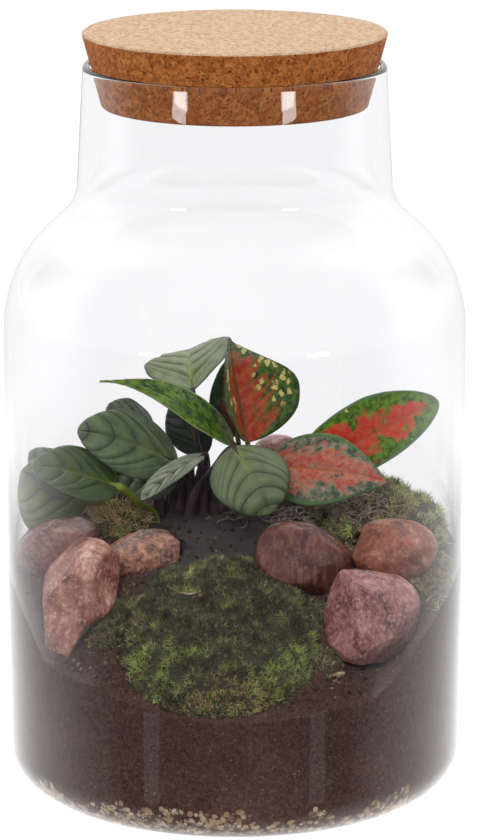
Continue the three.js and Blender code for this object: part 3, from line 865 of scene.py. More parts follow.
def lathe(name: str, profile: Sequence[Pair], sides: int) -> Piece:
    """Turns a profile about the Z axis: a ring is extruded from each point to the next.

    Args:
        name: The new piece's name.
        profile: Radius and height of each point in millimetres, from one end to the other,
            with the ends on flat caps.
        sides: How many corners a ring has.

    Returns:
        The closed piece.
    """
    deselect()
    radius, height = profile[0]
    start = (0, 0, height * MM)
    bpy.ops.mesh.primitive_circle_add(vertices=sides, radius=radius * MM, location=start)
    piece = named(name)
    with editing():
        for next_radius, next_height in profile[1:]:
            rise = (0, 0, (next_height - height) * MM)
            bpy.ops.mesh.extrude_edges_move(TRANSFORM_OT_translate={"value": rise})
            growth = next_radius / radius
            middle = (0, 0, next_height * MM)
            bpy.ops.transform.resize(value=(growth, growth, 1), center_override=middle)
            radius, height = next_radius, next_height
        bpy.ops.mesh.edge_face_add()
        bpy.ops.mesh.select_all(action="DESELECT")
        shape = bmesh.from_edit_mesh(piece.data)
        shape.verts.ensure_lookup_table()
        for corner in shape.verts[:sides]:
            corner.select = True
        shape.select_flush(True)
        bmesh.update_edit_mesh(piece.data)
        bpy.ops.mesh.edge_face_add()
        bpy.ops.mesh.select_all(action="SELECT")
        bpy.ops.mesh.normals_make_consistent(inside=False)
    bpy.ops.object.shade_smooth_by_angle(angle=math.radians(40))
    return piece


def arc(centre: Pair, radius: float, start: float, end: float, steps: int) -> list[Pair]:
    """Points along an arc of a profile.

    Args:
        centre: Radius and height of the arc's centre.
        radius: The arc's own radius, negative to run on its far side.
        start: The first angle in degrees, from outwards towards up.
        end: The last angle in degrees.
        steps: How many pieces the arc is in.

    Returns:
        Radius and height of each point.
    """
    angles = [math.radians(start + (end - start) * i / steps) for i in range(steps + 1)]
    return [(centre[0] + radius * math.cos(a), centre[1] + radius * math.sin(a)) for a in angles]


def tube(
    name: str, route: Sequence[Sequence[float]], radii: Sequence[float], steps: int = 8,
    roundness: int = 3,
) -> Piece:
    """Makes a stalk along a smooth curve.

    Args:
        name: The new piece's name.
        route: The points that it runs through, in millimetres.
        radii: Its radius at each point, in millimetres.
        steps: How many rings lie between two points.
        roundness: How finely a ring is divided.

    Returns:
        The stalk as a closed mesh.
    """
    deselect()
    bpy.ops.curve.primitive_nurbs_path_add()
    line = bpy.context.active_object
    line.data.splines.clear()
    line.data.dimensions = "3D"
    line.data.bevel_depth = MM
    line.data.bevel_resolution = roundness
    line.data.use_fill_caps = True
    spline = line.data.splines.new("BEZIER")
    spline.bezier_points.add(len(route) - 1)
    spline.resolution_u = steps
    for knot, place, radius in zip(spline.bezier_points, route, radii):
        knot.co = Vector(place) * MM
        knot.radius = radius
        knot.handle_left_type = "AUTO"
        knot.handle_right_type = "AUTO"
    activate(line)
    bpy.ops.object.convert(target="MESH")
    piece = named(name)
    with editing():
        bpy.ops.mesh.remove_doubles(threshold=0.001 * MM)
        bpy.ops.mesh.normals_make_consistent(inside=False)
    bpy.ops.object.shade_smooth()
    return piece


def joined(name: str, pieces: Sequence[Piece]) -> Piece:
    """Joins pieces into one.

    Args:
        name: The name of the joined piece.
        pieces: The pieces, of which the first one stays.

    Returns:
        The joined piece.
    """
    activate(pieces[0])
    for piece in pieces[1:]:
        piece.select_set(True)
    bpy.ops.object.join()
    pieces[0].name = name
    return pieces[0]


def any_turn(draw: Chance) -> Matrix:
    """A turn by chance about all three axes, each by up to about a full turn."""
    return Euler(draw.uniform(0, 6.3, 3).tolist()).to_matrix().to_4x4()


@dataclass
class Scatter:
    """Many copies of a few small shapes, gathered in one mesh."""

    shapes: list[Piece]
    placed: list[tuple[int, Matrix, float]] = field(default_factory=list)

    def add(
        self, number: int, place: Sequence[float], turn: Matrix, size: float, tint: float
    ) -> None:
        """Adds a copy.

        Args:
            number: Which shape it is.
            place: Where its origin goes, in millimetres.
            turn: How it is turned, as a 4 by 4 matrix.
            size: How much it is grown.
            tint: Which of the finish's colours it takes, from 0 to 1.
        """
        matrix = Matrix.Translation(Vector(place) * MM) @ turn @ Matrix.Scale(size, 4)
        self.placed.append((number % len(self.shapes), matrix, tint))

    def build(self, name: str, fade: float = 0.0) -> Piece:
        """Makes the mesh of all the copies, and removes the shapes that they came from.

        Args:
            name: The new piece's name.
            fade: How much of its tint a copy loses from 1 mm up its own height to its foot, which darkens the
                foot: painted shade.

        Returns:
            The piece, with each copy's tint in an attribute of its corners.
        """
        corners: list[Rows] = []
        faces: list[Rows] = []
        tints: list[Rows] = []
        count = 0
        for number, shape in enumerate(self.shapes):
            modify(shape, "TRIANGULATE")
            bare = points_of(shape) * MM
            # Painted shade: the tint drops towards each copy's foot, which darkens it there.
            shade = 1 - fade * (1 - np.clip(bare[:, 2] / MM, 0, 1))
            own = np.empty(len(shape.data.polygons) * 3, int)
            shape.data.polygons.foreach_get("vertices", own)
            for _, matrix, tint in (entry for entry in self.placed if entry[0] == number):
                grid = np.array(matrix)
                corners.append(bare @ grid[:3, :3].T + grid[:3, 3])
                faces.append(own.reshape(-1, 3) + count)
                tints.append(shade * tint)
                count += len(bare)
        mesh = bpy.data.meshes.new(name)
        mesh.from_pydata(np.concatenate(corners), [], np.concatenate(faces).tolist())
        tint_layer = mesh.attributes.new("tint", "FLOAT", "POINT")
        tint_layer.data.foreach_set("value", np.concatenate(tints).astype(np.float32))
        piece = bpy.data.objects.new(name, mesh)
        bpy.context.scene.collection.objects.link(piece)
        for shape in self.shapes:
            bpy.data.objects.remove(shape)
        return piece


def sampled(
    piece: Piece, count: int, draw: Chance
) -> tuple[Rows, Rows]:
    """Picks places evenly over a surface.

    Args:
        piece: The object whose surface it is.
        count: How many places.
        draw: The seeded source of numbers.

    Returns:
        The places in millimetres and the outward directions there.
    """
    piece.data.calc_loop_triangles()
    numbers = np.empty(len(piece.data.loop_triangles) * 3, int)
    piece.data.loop_triangles.foreach_get("vertices", numbers)
    a, b, c = np.moveaxis(points_of(piece)[numbers.reshape(-1, 3)], 1, 0)
    across = np.cross(b - a, c - a)
    areas = np.linalg.norm(across, axis=1)
    picked = draw.choice(len(areas), count, p=areas / areas.sum())
    u, v = draw.random((2, count, 1))
    over = (u + v) > 1
    u, v = np.where(over, 1 - u, u), np.where(over, 1 - v, v)
    places = a[picked] + u * (b - a)[picked] + v * (c - a)[picked]
    return places, unit(across[picked])


def show(piece: Piece, slot: str, *nodes: str, finish: Any = None) -> None:
    """Dresses a finished piece and puts it in the frame.

    Args:
        piece: The piece.
        slot: The name of a material slot, which is not used.
        *nodes: The solids that it stands for.
        finish: Its finish, unless it already has one.
    """
    if finish:
        piece.data.materials.append(finish.material())
    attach(piece, BODY)
    if nodes:
        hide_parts(*nodes)
    stands_for = ", ".join(nodes) or "none"
    LOG.info("%s: %d faces, for %s", piece.name, len(piece.data.polygons), stands_for)


@dataclass
class Jar:
    """The jar: foot ring, rounded corners, straight body, shoulder, neck and rim."""

    rim_height: float = 287.5
    body_low: float = 90.9
    body_high: float = 90.0
    shoulder_start: float = 185.0
    shoulder_bend: float = 52.0
    shoulder_turn: float = 48.0
    shoulder_flat: float = 7.1
    neck_fillet: float = 19.7
    neck_lean: float = 3.0
    rim_radius: float = 58.6
    body_wall: float = 3.0
    rim_wall: float = 2.9
    lip_start: float = 15.0
    floor: float = 5.5
    corner_height: float = 18.0
    outer_corner: float = 17.5
    inner_corner: float = 14.5
    foot_ring: float = 53.0
    foot_slope: float = 6.0
    punt: float = 1.6
    ring_share: float = 0.02
    bend_steps: int = 18
    corner_steps: int = 14
    lip_steps: int = 8
    sides: int = 192
    plant_gap: float = 0.3

    def wall_inside(self, height: float) -> float:
        """The radius inside the straight wall at a height."""
        share = (height - self.corner_height) / (self.shoulder_start - self.corner_height)
        return self.body_low + (self.body_high - self.body_low) * share - self.body_wall

    def holds(self, tip: Vector) -> bool:
        """Whether the tip of a shoot stays clear of the wall."""
        return math.hypot(tip.x, tip.y) <= self.wall_inside(tip.z) - self.plant_gap

    def corner(self) -> Pair:
        """Radius and height of the centre of the rounded corner inside."""
        radius = self.wall_inside(self.corner_height) - self.inner_corner
        return (radius, self.floor + self.inner_corner)

    def gaps(self, places: Rows) -> tuple[Rows, Rows]:
        """How far places are from the glass.

        Args:
            places: Places inside the jar and below its shoulder, in millimetres.

        Returns:
            The distance to the inside of the wall, corner or floor, which is negative in the
            glass, and the way there.
        """
        corner_radius, corner_height = self.corner()
        radius = np.maximum(np.hypot(places[:, 0], places[:, 1]), 1e-6)
        height = places[:, 2]
        out, up = radius - corner_radius, height - corner_height
        reach = np.maximum(np.hypot(out, up), 1e-6)
        zones = [up >= 0, (up < 0) & (out <= 0)]
        to_wall = self.wall_inside(height) - radius
        gap = np.select(zones, [to_wall, height - self.floor], self.inner_corner - reach)
        outwards = np.select(zones, [1, 0], out / reach)
        upwards = np.select(zones, [0, -1], up / reach)
        way = np.column_stack([places[:, :2] / radius[:, None] * outwards[:, None], upwards])
        return gap, way

    def side(self, inset: float, rim_inset: float) -> list[Pair]:
        """The side from the shoulder up to the rim.

        Args:
            inset: How far inside the outer face it lies.
            rim_inset: How far inside it lies at the rim.

        Returns:
            Radius and height of each point.
        """
        turn = math.radians(self.shoulder_turn)
        centre = (self.body_high - self.shoulder_bend, self.shoulder_start)
        bend = arc(centre, self.shoulder_bend - inset, 0, self.shoulder_turn, self.bend_steps)
        end = bend[-1]
        flat = self.shoulder_flat
        flat_end = (end[0] - flat * math.sin(turn), end[1] + flat * math.cos(turn))
        fillet = self.neck_fillet + inset
        middle = (flat_end[0] + fillet * math.cos(turn), flat_end[1] + fillet * math.sin(turn))
        neck = arc(middle, -fillet, self.shoulder_turn, self.neck_lean, self.corner_steps)
        top = (self.rim_radius - rim_inset, self.rim_height - self.rim_wall / 2)
        return [*bend, *neck, *self.between(neck[-1], top), top]

    def between(self, start: Pair, end: Pair) -> list[Pair]:
        """Two rings near the ends of a straight stretch, which keep its shading straight."""
        return [
            (start[0] + (end[0] - start[0]) * share, start[1] + (end[1] - start[1]) * share)
            for share in (self.ring_share, 1 - self.ring_share)
        ]

    def profile(self) -> list[Pair]:
        """The whole outline, from the middle of the punt round to the middle of the floor."""
        outer = self.body_low - self.outer_corner
        lip = self.rim_wall / 2
        flat_end = self.foot_ring - self.foot_slope
        foot = [(POLE, self.punt), (flat_end, self.punt), (self.foot_ring, 0.0)]
        foot_corner = [
            (outer + self.outer_corner * math.cos(a), self.corner_height * (1 + math.sin(a)))
            for a in np.linspace(-math.pi / 2, 0, self.corner_steps + 1)
        ]
        lip_centre = (self.rim_radius - lip, self.rim_height - lip)
        lip_arc = arc(lip_centre, lip, self.lip_start, 180 - self.lip_start, self.lip_steps)
        outside = self.side(0, 0)
        inside = self.side(self.body_wall, self.rim_wall)[::-1]
        inner_corner = arc(self.corner(), self.inner_corner, 0, -90, self.corner_steps)
        return [
            *foot, *foot_corner, *self.between(foot_corner[-1], outside[0]), *outside, *lip_arc,
            *inside, *self.between(inside[-1], inner_corner[0]), *inner_corner, (POLE, self.floor),
        ]

    def build(self) -> None:
        """Builds and dresses the jar."""
        piece = lathe("jar", self.profile(), self.sides)
        show(piece, "clear_glass", "jar_glass", finish=BlownGlass())


@dataclass
class CorkLid:
    """The lid: a tapered plug of pressed cork with a sanded top.

    Its torn-out pits fade out towards both edges, and the rim squeezes it a little.
    """

    top: float = 300.0
    bottom: float = 271.7
    top_radius: float = 58.8
    bottom_radius: float = 51.6
    bevel: float = 0.7
    pit_size: float = 2.4
    pit_depth: float = 0.56
    bottom_fade: Pair = (-0.1, 1.5)
    top_fade: Pair = (0.05, -0.3)
    rim_zone: Pair = (289.5, 286.5)
    squeeze: float = 0.1
    sides: int = 300
    side_rings: int = 44
    top_rings: int = 8

    def profile(self) -> list[Pair]:
        """The outline, with many rings on the side for its pits."""
        low, high = self.bottom + self.bevel, self.top - self.bevel
        wall = []
        for i in range(self.side_rings + 1):
            share = i / self.side_rings
            radius = self.bottom_radius + (self.top_radius - self.bottom_radius) * share
            wall.append((radius, low + (high - low) * share))
        face = self.top_radius - self.bevel
        steps = self.top_rings + 1
        crown = [(face * (1 - i / steps), self.top) for i in range(steps)]
        return [(POLE, self.bottom), (self.bottom_radius - self.bevel, self.bottom), *wall, *crown]

    def build(self) -> None:
        """Builds and dresses the lid, with torn-out pits in its side."""
        piece = lathe("cork", self.profile(), self.sides)
        places = points_of(piece)
        height = places[:, 2]
        pits = np.clip(grain_field(places, self.pit_size, seed=5) - 0.05, 0, 1) * self.pit_depth
        pits *= smoothstep(*(self.bottom + fade for fade in self.bottom_fade), height)
        pits *= smoothstep(*(self.top + fade for fade in self.top_fade), height)
        sunk = pits + self.squeeze * smoothstep(*self.rim_zone, height)
        move_points(piece, places - normals_of(piece) * sunk[:, None])
        for finish in (CORK_SIDE, CORK_TOP):
            piece.data.materials.append(finish.material())
        for face in piece.data.polygons:
            face.material_index = int(face.center.z > (self.top - 0.9 * self.bevel) * MM)
        show(piece, "pressed_cork", "cork_lid")


def keep_in_glass(piece: Piece, jar: Jar, depth: float) -> None:
    """Draws in the corners of a piece that stand deeper in the wall than a wet film would.

    Args:
        piece: The piece that lies against the glass.
        jar: The jar.
        depth: How deep in the wall the corners may stand in millimetres.
    """
    places = points_of(piece)
    gap, way = jar.gaps(places)
    move_points(piece, places + way * np.minimum(gap + depth, 0)[:, None])


def press_on_glass(
    piece: Piece, jar: Jar, voxel: float, depth: float = 0.12, reach: float = 4.0,
) -> None:
    """Remeshes a piece finely and wets it to the glass wherever it lies close to it.

    Args:
        piece: The piece, a filling of the jar.
        jar: The jar.
        voxel: The size of the new mesh in millimetres.
        depth: How deep in the wall the wetted surface stands in millimetres.
        reach: The widest gap that is drawn in, in millimetres.
    """
    remesh(piece, voxel)
    modify(piece, "SMOOTH", factor=0.6, iterations=3)
    places = points_of(piece)
    gap, way = jar.gaps(places)
    close = smoothstep(reach, 0.6 * reach, gap)
    move_points(piece, places + way * ((gap + depth) * close)[:, None])
    bpy.ops.object.shade_smooth()


@dataclass
class Grit:
    """The grit: a bed of fines with washed grains pressed against the glass round its foot.

    The grains lie along the jar's rounded corner, between two angles below the horizon. Large
    and small clumps of them thin out to gaps.
    """

    grains: int = 2900
    grain_size: Pair = (0.55, 2.0)
    grain_kinds: int = 4
    roughness: float = 0.22
    voxel: float = 1.1
    bank_from: Pair = (75.0, 10.5)
    bank_rise: float = 2.4
    bank_gap: float = 7.0
    shown_low: float = -72.0
    shown_high: float = -20.0
    clumps: float = 5.5
    small_clumps: float = 2.3
    clump_plane: float = 0.9
    cover: float = 0.7
    unevenness: float = 1.2
    bedded: float = 0.4
    wet_depth: float = 0.3
    seed: int = 21

    def build(self, jar: Jar) -> None:
        """Builds the bed and its grains.

        Args:
            jar: The jar whose floor and corner the grains lie against.
        """
        bed = copy_of_node("drainage_grit", "grit_bed")
        places = points_of(bed)
        radius = np.hypot(places[:, 0], places[:, 1])
        on_bank = (places[:, 2] > self.bank_from[1]) & (radius > self.bank_from[0])
        places[:, 2] += self.bank_rise * on_bank
        move_points(bed, places)
        press_on_glass(bed, jar, self.voxel, reach=self.bank_gap)
        draw = np.random.default_rng(self.seed)
        grains = Scatter([self.grain(number) for number in range(self.grain_kinds)])
        centre = jar.corner()
        for i in range(self.grains):
            size = draw.uniform(*self.grain_size)
            turn = 2 * math.pi * (i + draw.random()) / self.grains
            ring = Vector((math.cos(turn), math.sin(turn), self.clump_plane)) * self.clumps
            clump = noise.noise(ring) + 0.5 * noise.noise(ring * self.small_clumps)
            lift = draw.random()
            if lift > self.cover + self.unevenness * clump:
                continue
            angle = math.radians(self.shown_low + (self.shown_high - self.shown_low) * lift)
            reach = jar.inner_corner - self.bedded * size
            out = centre[0] + reach * math.cos(angle)
            height = centre[1] + reach * math.sin(angle)
            place = (out * math.cos(turn), out * math.sin(turn), height)
            grains.add(i, place, any_turn(draw), size, draw.random())
        piece = grains.build("grit_grains")
        keep_in_glass(piece, jar, self.wet_depth)
        show(bed, "grit", "drainage_grit", finish=Compost())
        show(piece, "grit", finish=RIVER_GRIT)

    def grain(self, number: int) -> Piece:
        """One worn grain about 2 mm across before it is sized.

        Args:
            number: Which of the kinds it is.

        Returns:
            The grain.
        """
        deselect()
        bpy.ops.mesh.primitive_ico_sphere_add(subdivisions=2, radius=MM)
        piece = named(f"grain_{number}")
        with editing():
            bpy.ops.transform.vertex_random(offset=self.roughness * MM, seed=number + 1)
            bpy.ops.transform.resize(value=(1.0, 0.8, 0.62 + 0.1 * number))
        return piece


@dataclass
class Soil:
    """The potting soil: pressed smooth on the glass and low down, and crumbly on top.

    Each zone is the two radii or the two heights between which it turns from smooth to rough.
    """

    voxel: float = 1.3
    pressed_zone: Pair = (86.6, 84.0)
    low_zone: Pair = (30.0, 40.0)
    lump_size: float = 5.0
    lump_height: float = 1.3
    crumb_size: float = 2.2
    crumb_height: float = 0.5
    crumbs: int = 5400
    crumb_kinds: int = 3
    crumb_growth: Pair = (0.35, 1.0)
    crumb_slope: float = 0.35
    crumb_reach: float = 84.5
    crumb_lift: float = 0.2
    seed: int = 31

    def build(self, jar: Jar) -> None:
        """Builds the soil and its loose crumbs.

        Args:
            jar: The jar whose wall holds the soil.
        """
        piece = copy_of_node("potting_soil", "soil")
        press_on_glass(piece, jar, self.voxel)
        places = points_of(piece)
        radius = np.hypot(places[:, 0], places[:, 1])
        free = smoothstep(*self.pressed_zone, radius) * smoothstep(*self.low_zone, places[:, 2])
        lumps = grain_field(places, self.lump_size, seed=9, octaves=4) * self.lump_height
        crumbs = grain_field(places, self.crumb_size, seed=12, octaves=2) * self.crumb_height
        move_points(piece, places + normals_of(piece) * ((lumps + crumbs) * free)[:, None])
        show(piece, "potting_soil", "potting_soil", finish=Compost())
        self.build_crumbs(piece)

    def build_crumbs(self, ground: Piece) -> None:
        """Strews loose crumbs over the soil.

        Args:
            ground: The soil.
        """
        draw = np.random.default_rng(self.seed)
        places, ways = sampled(ground, self.crumbs, draw)
        crumbs = Scatter([Grit().grain(number) for number in range(self.crumb_kinds)])
        for i, (place, way) in enumerate(zip(places, ways)):
            if way[2] < self.crumb_slope or math.hypot(place[0], place[1]) > self.crumb_reach:
                continue
            turn = any_turn(draw)
            size = draw.uniform(*self.crumb_growth)
            crumbs.add(i, place + way * self.crumb_lift, turn, size, draw.random() ** 1.5)
        show(crumbs.build("soil_crumbs"), "potting_soil", finish=ROOT_FIBRE)


@dataclass
class Stone:
    """One tumbled stone: its solid, smoothed, worn flat on some sides and dressed.

    A flat is a way and the share of the stone that is left on that side. A pull is a place,
    the way its surroundings are drawn, and their radius, in millimetres.
    """

    node: str
    finish: TumbledStone
    flats: tuple[tuple[Point, float], ...] = ()
    pulls: tuple[tuple[Point, Point, float], ...] = ()
    seed: int = 1
    grow: Point = (1.03, 1.03, 1.03)
    random_flats: int = 7
    flat_shares: Pair = (0.84, 0.94)
    wear: float = 0.93
    lump_size: float = 15.0
    lump_height: float = 1.1
    grain_size: float = 2.2
    grain_height: float = 0.1

    def build(self) -> None:
        """Builds and dresses the stone."""
        piece = copy_of_node(self.node, self.node + "_worn")
        modify(piece, "SUBSURF", levels=4, render_levels=4)
        low, high = (np.array(corner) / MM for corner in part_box(self.node))
        centre = (low + high) / 2
        places = centre + (points_of(piece) - centre) * np.array(self.grow)
        draw = np.random.default_rng(self.seed)
        by_chance = [
            (unit(draw.normal(0, 1, 3)), draw.uniform(*self.flat_shares))
            for _ in range(self.random_flats)
        ]
        chosen = [(unit(np.array(way, float)), share) for way, share in self.flats]
        for way, share in by_chance + chosen:
            height = (places - centre) @ way
            proud = np.clip(height - share * height.max(), 0, None)
            places = places - proud[:, None] * way * self.wear
        for at, shift, radius in self.pulls:
            away = np.linalg.norm(places - np.array(at), axis=1) / radius
            places = places + np.exp(-away ** 2)[:, None] * np.array(shift)
        move_points(piece, places)
        modify(piece, "SMOOTH", factor=0.5, iterations=2)
        places = points_of(piece)
        lumps = grain_field(places, self.lump_size, self.seed, octaves=1) * self.lump_height
        grains = grain_field(places, self.grain_size, self.seed + 3) * self.grain_height
        move_points(piece, places + normals_of(piece) * (lumps + grains)[:, None])
        show(piece, "tumbled_stone", self.node, finish=self.finish)


STONES = (
    Stone(
        "stone_left_back",
        TumbledStone(
            "pink_granite", "#391917", "#633530", "#84544d", "#a67c73",
            stains=(("#74231d", (-60, -24, 100), 6.0), ("#936359", (-70, -30, 90), 7.0)),
            speck_share=0.16, cloud_size=6.8, streak="#6b2f28", streak_share=0.4, streak_turn=(0, 40, 0),
        ),
        flats=(((0.2, -0.4, 0.9), 0.8),), seed=3,
    ),
    Stone(
        "stone_left_front",
        TumbledStone(
            "rose_quartzite", "#5d2f29", "#945a4d", "#b98372", "#ddbcaa",
            stains=(
                ("#d3b19f", (-53, -54, 88), 4.5), ("#caa390", (-57, -56, 80), 4.0),
                ("#8c4436", (-66, -46, 98), 8.0), ("#c3967f", (-68, -50, 72), 6.0),
                ("#532f2c", (-62, -46, 104), 2.6),
            ),
            speck_share=0.1, cloud_size=9.0, streak="#874842", streak_share=0.55, streak_turn=(0, 30, 0),
        ),
        flats=(((0.75, -0.65, 0.1), 0.7), ((-0.5, -0.85, 0.15), 0.76), ((0.5, -0.5, -0.7), 0.8)),
        pulls=(
            ((-68, -52, 72), (-1.0, -1.0, -10.0), 11.0), ((-71, -51, 66), (-2.5, 0.5, -10.0), 8.0),
            ((-47, -47, 84), (3.0, 0.5, 0.0), 8.0),
        ),
        grow=(1.04, 1.02, 1.02), seed=8,
    ),
    Stone(
        "stone_left_mid",
        TumbledStone(
            "orange_grey_jasper", "#4d3b36", "#6f4f48", "#af755d", "#dbb09b",
            stains=(("#c3672b", (-24, -28, 96), 4.5), ("#bb7d68", (-33, -29, 93), 9.0)),
            speck_share=0.14, cloud_size=6.0,
        ),
        flats=(((0, -0.2, 1), 0.8),), pulls=(((-43, -29, 92), (-6.0, 0.0, 1.0), 9.0),), seed=14,
    ),
    Stone(
        "stone_right_mid",
        TumbledStone(
            "brown_red_jasper", "#2f1618", "#4f2926", "#673a32", "#876558",
            stains=(("#622724", (26, -42, 86), 8.0), ("#906a60", (40, -30, 106), 6.0)),
            speck_share=0.04, cloud_size=12.0, streak="#815345", streak_share=0.8,
            streak_turn=(0, -35, 0), roughness=0.26,
        ),
        flats=(((-0.1, -0.9, 0.3), 0.72), ((0.7, -0.1, 0.8), 0.85)), seed=21, random_flats=4,
    ),
    Stone(
        "stone_right_back",
        TumbledStone(
            "orange_carnelian", "#461c15", "#743523", "#92543b", "#b48468",
            stains=(
                ("#b98c6c", (74, -28, 97), 8.0), ("#9c5638", (58, -28, 104), 9.0),
                ("#a83a10", (66, -30, 104), 12.0),
            ),
            speck_share=0.1, cloud_size=7.5,
        ),
        flats=(((0.3, -0.5, 0.9), 0.82), ((-0.7, -0.4, 0.6), 0.82)), seed=33,
    ),
    Stone(
        "stone_right_front",
        TumbledStone(
            "mauve_quartzite", "#4d2528", "#804847", "#9f6763", "#cba19d",
            stains=(
                ("#a36d61", (47, -55, 98), 7.0), ("#b0817b", (40, -60, 92), 5.0),
                ("#b18079", (66, -52, 96), 7.0),
            ),
            speck_share=0.16, cloud_size=9.0, streak="#a77473", streak_share=0.3, streak_turn=(0, 50, 0),
        ),
        flats=(((-0.8, -0.55, 0.3), 0.74), ((0.45, -0.35, 0.85), 0.8), ((0.6, -0.6, -0.5), 0.8)),
        pulls=(
            ((47.5, -50, 102), (0, 0, -4.5), 5.0), ((40, -50, 101), (0, 0, 2.5), 5.0),
            ((70, -47, 88), (2.5, 0, 0), 9.0), ((32, -60, 84), (-1.5, 0, 0), 9.0),
        ),
        grow=(1.07, 1.03, 1.03), seed=47, lump_height=1.4,
    ),
    Stone(
        "stone_centre_back",
        TumbledStone("pale_rose_quartz", "#744b46", "#95625c", "#ac7a73", "#c5aba2"),
        seed=52,
    ),
)


@dataclass
class MossShoot:
    """One shoot, 1 mm high before it is sized: a tuft of slender pointed leaves."""

    leaves: int = 3
    base: float = 0.07
    least_tilt: float = 8.0
    more_tilt: float = 30.0
    tilt_steps: Pair = (0.62, 0.3)
    middle: float = 0.48

    def build(self, number: int) -> Piece:
        """Builds one of the kinds of shoot, which differ in how their leaves lean.

        Args:
            number: Which of the kinds it is.

        Returns:
            The shoot.
        """
        leaves = []
        for i in range(self.leaves):
            deselect()
            bpy.ops.mesh.primitive_cone_add(
                vertices=3, radius1=self.base * MM, radius2=0, depth=MM
            )
            leaf = bpy.context.active_object
            share = (i * self.tilt_steps[0] + number * self.tilt_steps[1]) % 1
            tilt = math.radians(self.least_tilt + self.more_tilt * share)
            way = Euler((tilt, 0, 2 * math.pi * i / self.leaves + number), "XYZ")
            rise = Matrix.Translation((0, 0, self.middle * MM))
            leaf.matrix_world = way.to_matrix().to_4x4() @ rise
            bpy.context.view_layer.update()
            leaves.append(named(f"moss_leaf_{number}_{i}"))
        return joined(f"shoot_{number}", leaves)


def shoots_to_strew(kinds: int = 4) -> Scatter:
    """An empty scatter of moss shoots."""
    return Scatter([MossShoot().build(number) for number in range(kinds)])


def nearness(place: Rows, zones: Zones) -> float:
    """How deep a place lies in any of the zones, from 0 to 1."""
    reaches = [
        math.exp(-(np.linalg.norm(place - np.array(at)) / radius) ** 2) for at, radius in zones
    ]
    return max(reaches, default=0.0)


@dataclass
class MossCushion:
    """One cushion: a peaty core, thick with small moss shoots.

    Each zone is a place and a radius in millimetres. Shoots are bright, dry or missing there.
    """

    node: str
    shoots: int
    length: Pair
    dryness: float
    seed: int
    bright_at: Zones = ()
    dry_at: Zones = ()
    bare_at: Zones = ()
    spread: float = 0.5
    greenness: float = 0.34
    patchiness: float = 0.5
    # fade darkens each shoot towards its foot: painted shade.
    fade: float = 0.15
    voxel: float = 1.8
    bump_size: float = 9.0
    swell: float = 2.2
    sink: float = 0.8
    patch_size: float = 6.0
    sway_size: float = 8.0
    uplift: float = 0.4
    bedded: float = 0.4
    gaps_below: float = -1.0
    bare_underside: float = -0.35

    def build(self) -> None:
        """Builds and dresses the cushion."""
        core = copy_of_node(self.node, self.node + "_core")
        remesh(core, self.voxel)
        places = points_of(core)
        bumps = grain_field(places, self.bump_size, self.seed, octaves=2) * self.swell - self.sink
        move_points(core, places + normals_of(core) * bumps[:, None])
        bpy.ops.object.shade_smooth()
        draw = np.random.default_rng(self.seed)
        places, ways = sampled(core, self.shoots, draw)
        patches = grain_field(places, self.patch_size, self.seed + 50, octaves=2)
        sways = [
            grain_field(places, self.sway_size, self.seed + 60 + axis, octaves=2)
            for axis in range(3)
        ]
        jar = Jar()
        fronds = shoots_to_strew()
        for i, (place, way) in enumerate(zip(places, ways)):
            if way[2] < self.bare_underside or patches[i] < self.gaps_below:
                continue
            if draw.random() < nearness(place, self.bare_at):
                continue
            lean = Vector(way) + Vector((0, 0, self.uplift)) + Vector([sway[i] for sway in sways])
            lean = lean + Vector(draw.normal(0, self.spread, 3))
            spin = Matrix.Rotation(draw.uniform(0, 2 * math.pi), 4, "Z")
            turn = lean.to_track_quat("Z", "Y").to_matrix().to_4x4() @ spin
            size = draw.uniform(*self.length)
            if not jar.holds(Vector(place) + lean.normalized() * size):
                continue
            tint = self.tint(place, patches[i], draw)
            fronds.add(i, place - way * self.bedded, turn, size, tint)
        piece = fronds.build(self.node + "_fronds", fade=self.fade)
        show(core, "moss", self.node, finish=MOSS_CORE)
        show(piece, "moss", finish=MOSS_SHOOTS)

    def tint(self, place: Rows, patch: float, draw: Chance) -> float:
        """Which of the moss's colours a shoot takes.

        Args:
            place: Where the shoot stands, in millimetres.
            patch: How green its patch of the cushion is.
            draw: The seeded source of numbers.

        Returns:
            A share, green up to 0.76 and dry from 0.8 on.
        """
        value = self.greenness + self.patchiness * patch + draw.normal(0, 0.09)
        value += 0.3 * nearness(place, self.bright_at)
        dry = max(self.dryness, 0.85 * nearness(place, self.dry_at))
        if draw.random() < dry:
            return float(draw.uniform(0.8, 1.0))
        return float(np.clip(value, 0.12, 0.76))


MOSSES = (
    MossCushion(
        "moss_front", 14500, (1.5, 3.5), 0.05, 5,
        bright_at=(((-30, -71, 67), 11.0), ((27, -67, 66), 12.0), ((12, -76, 63), 9.0)),
        dry_at=(((3, -81, 55), 12.0), ((-12, -80, 56), 8.0)),
        bare_at=(((6, -70, 72), 4.5), ((-22, -74, 66), 3.5)),
    ),
    MossCushion(
        "moss_right", 12000, (1.8, 4.8), 0.34, 6, gaps_below=0.02,
        bright_at=(((79, 3, 109), 10.0), ((59, -7, 113), 7.0)), dry_at=(((59, -7, 113), 9.0),),
        bare_at=(((30, -6, 110), 9.0), ((39, -4, 111), 11.0), ((51, -8, 110), 8.0)), spread=0.8,
        greenness=0.2, fade=0.1, patchiness=1.0,
    ),
    MossCushion(
        "moss_left", 1100, (2.4, 6.0), 0.66, 7, spread=1.6, swell=0.6, greenness=0.4, fade=0.0
    ),
)


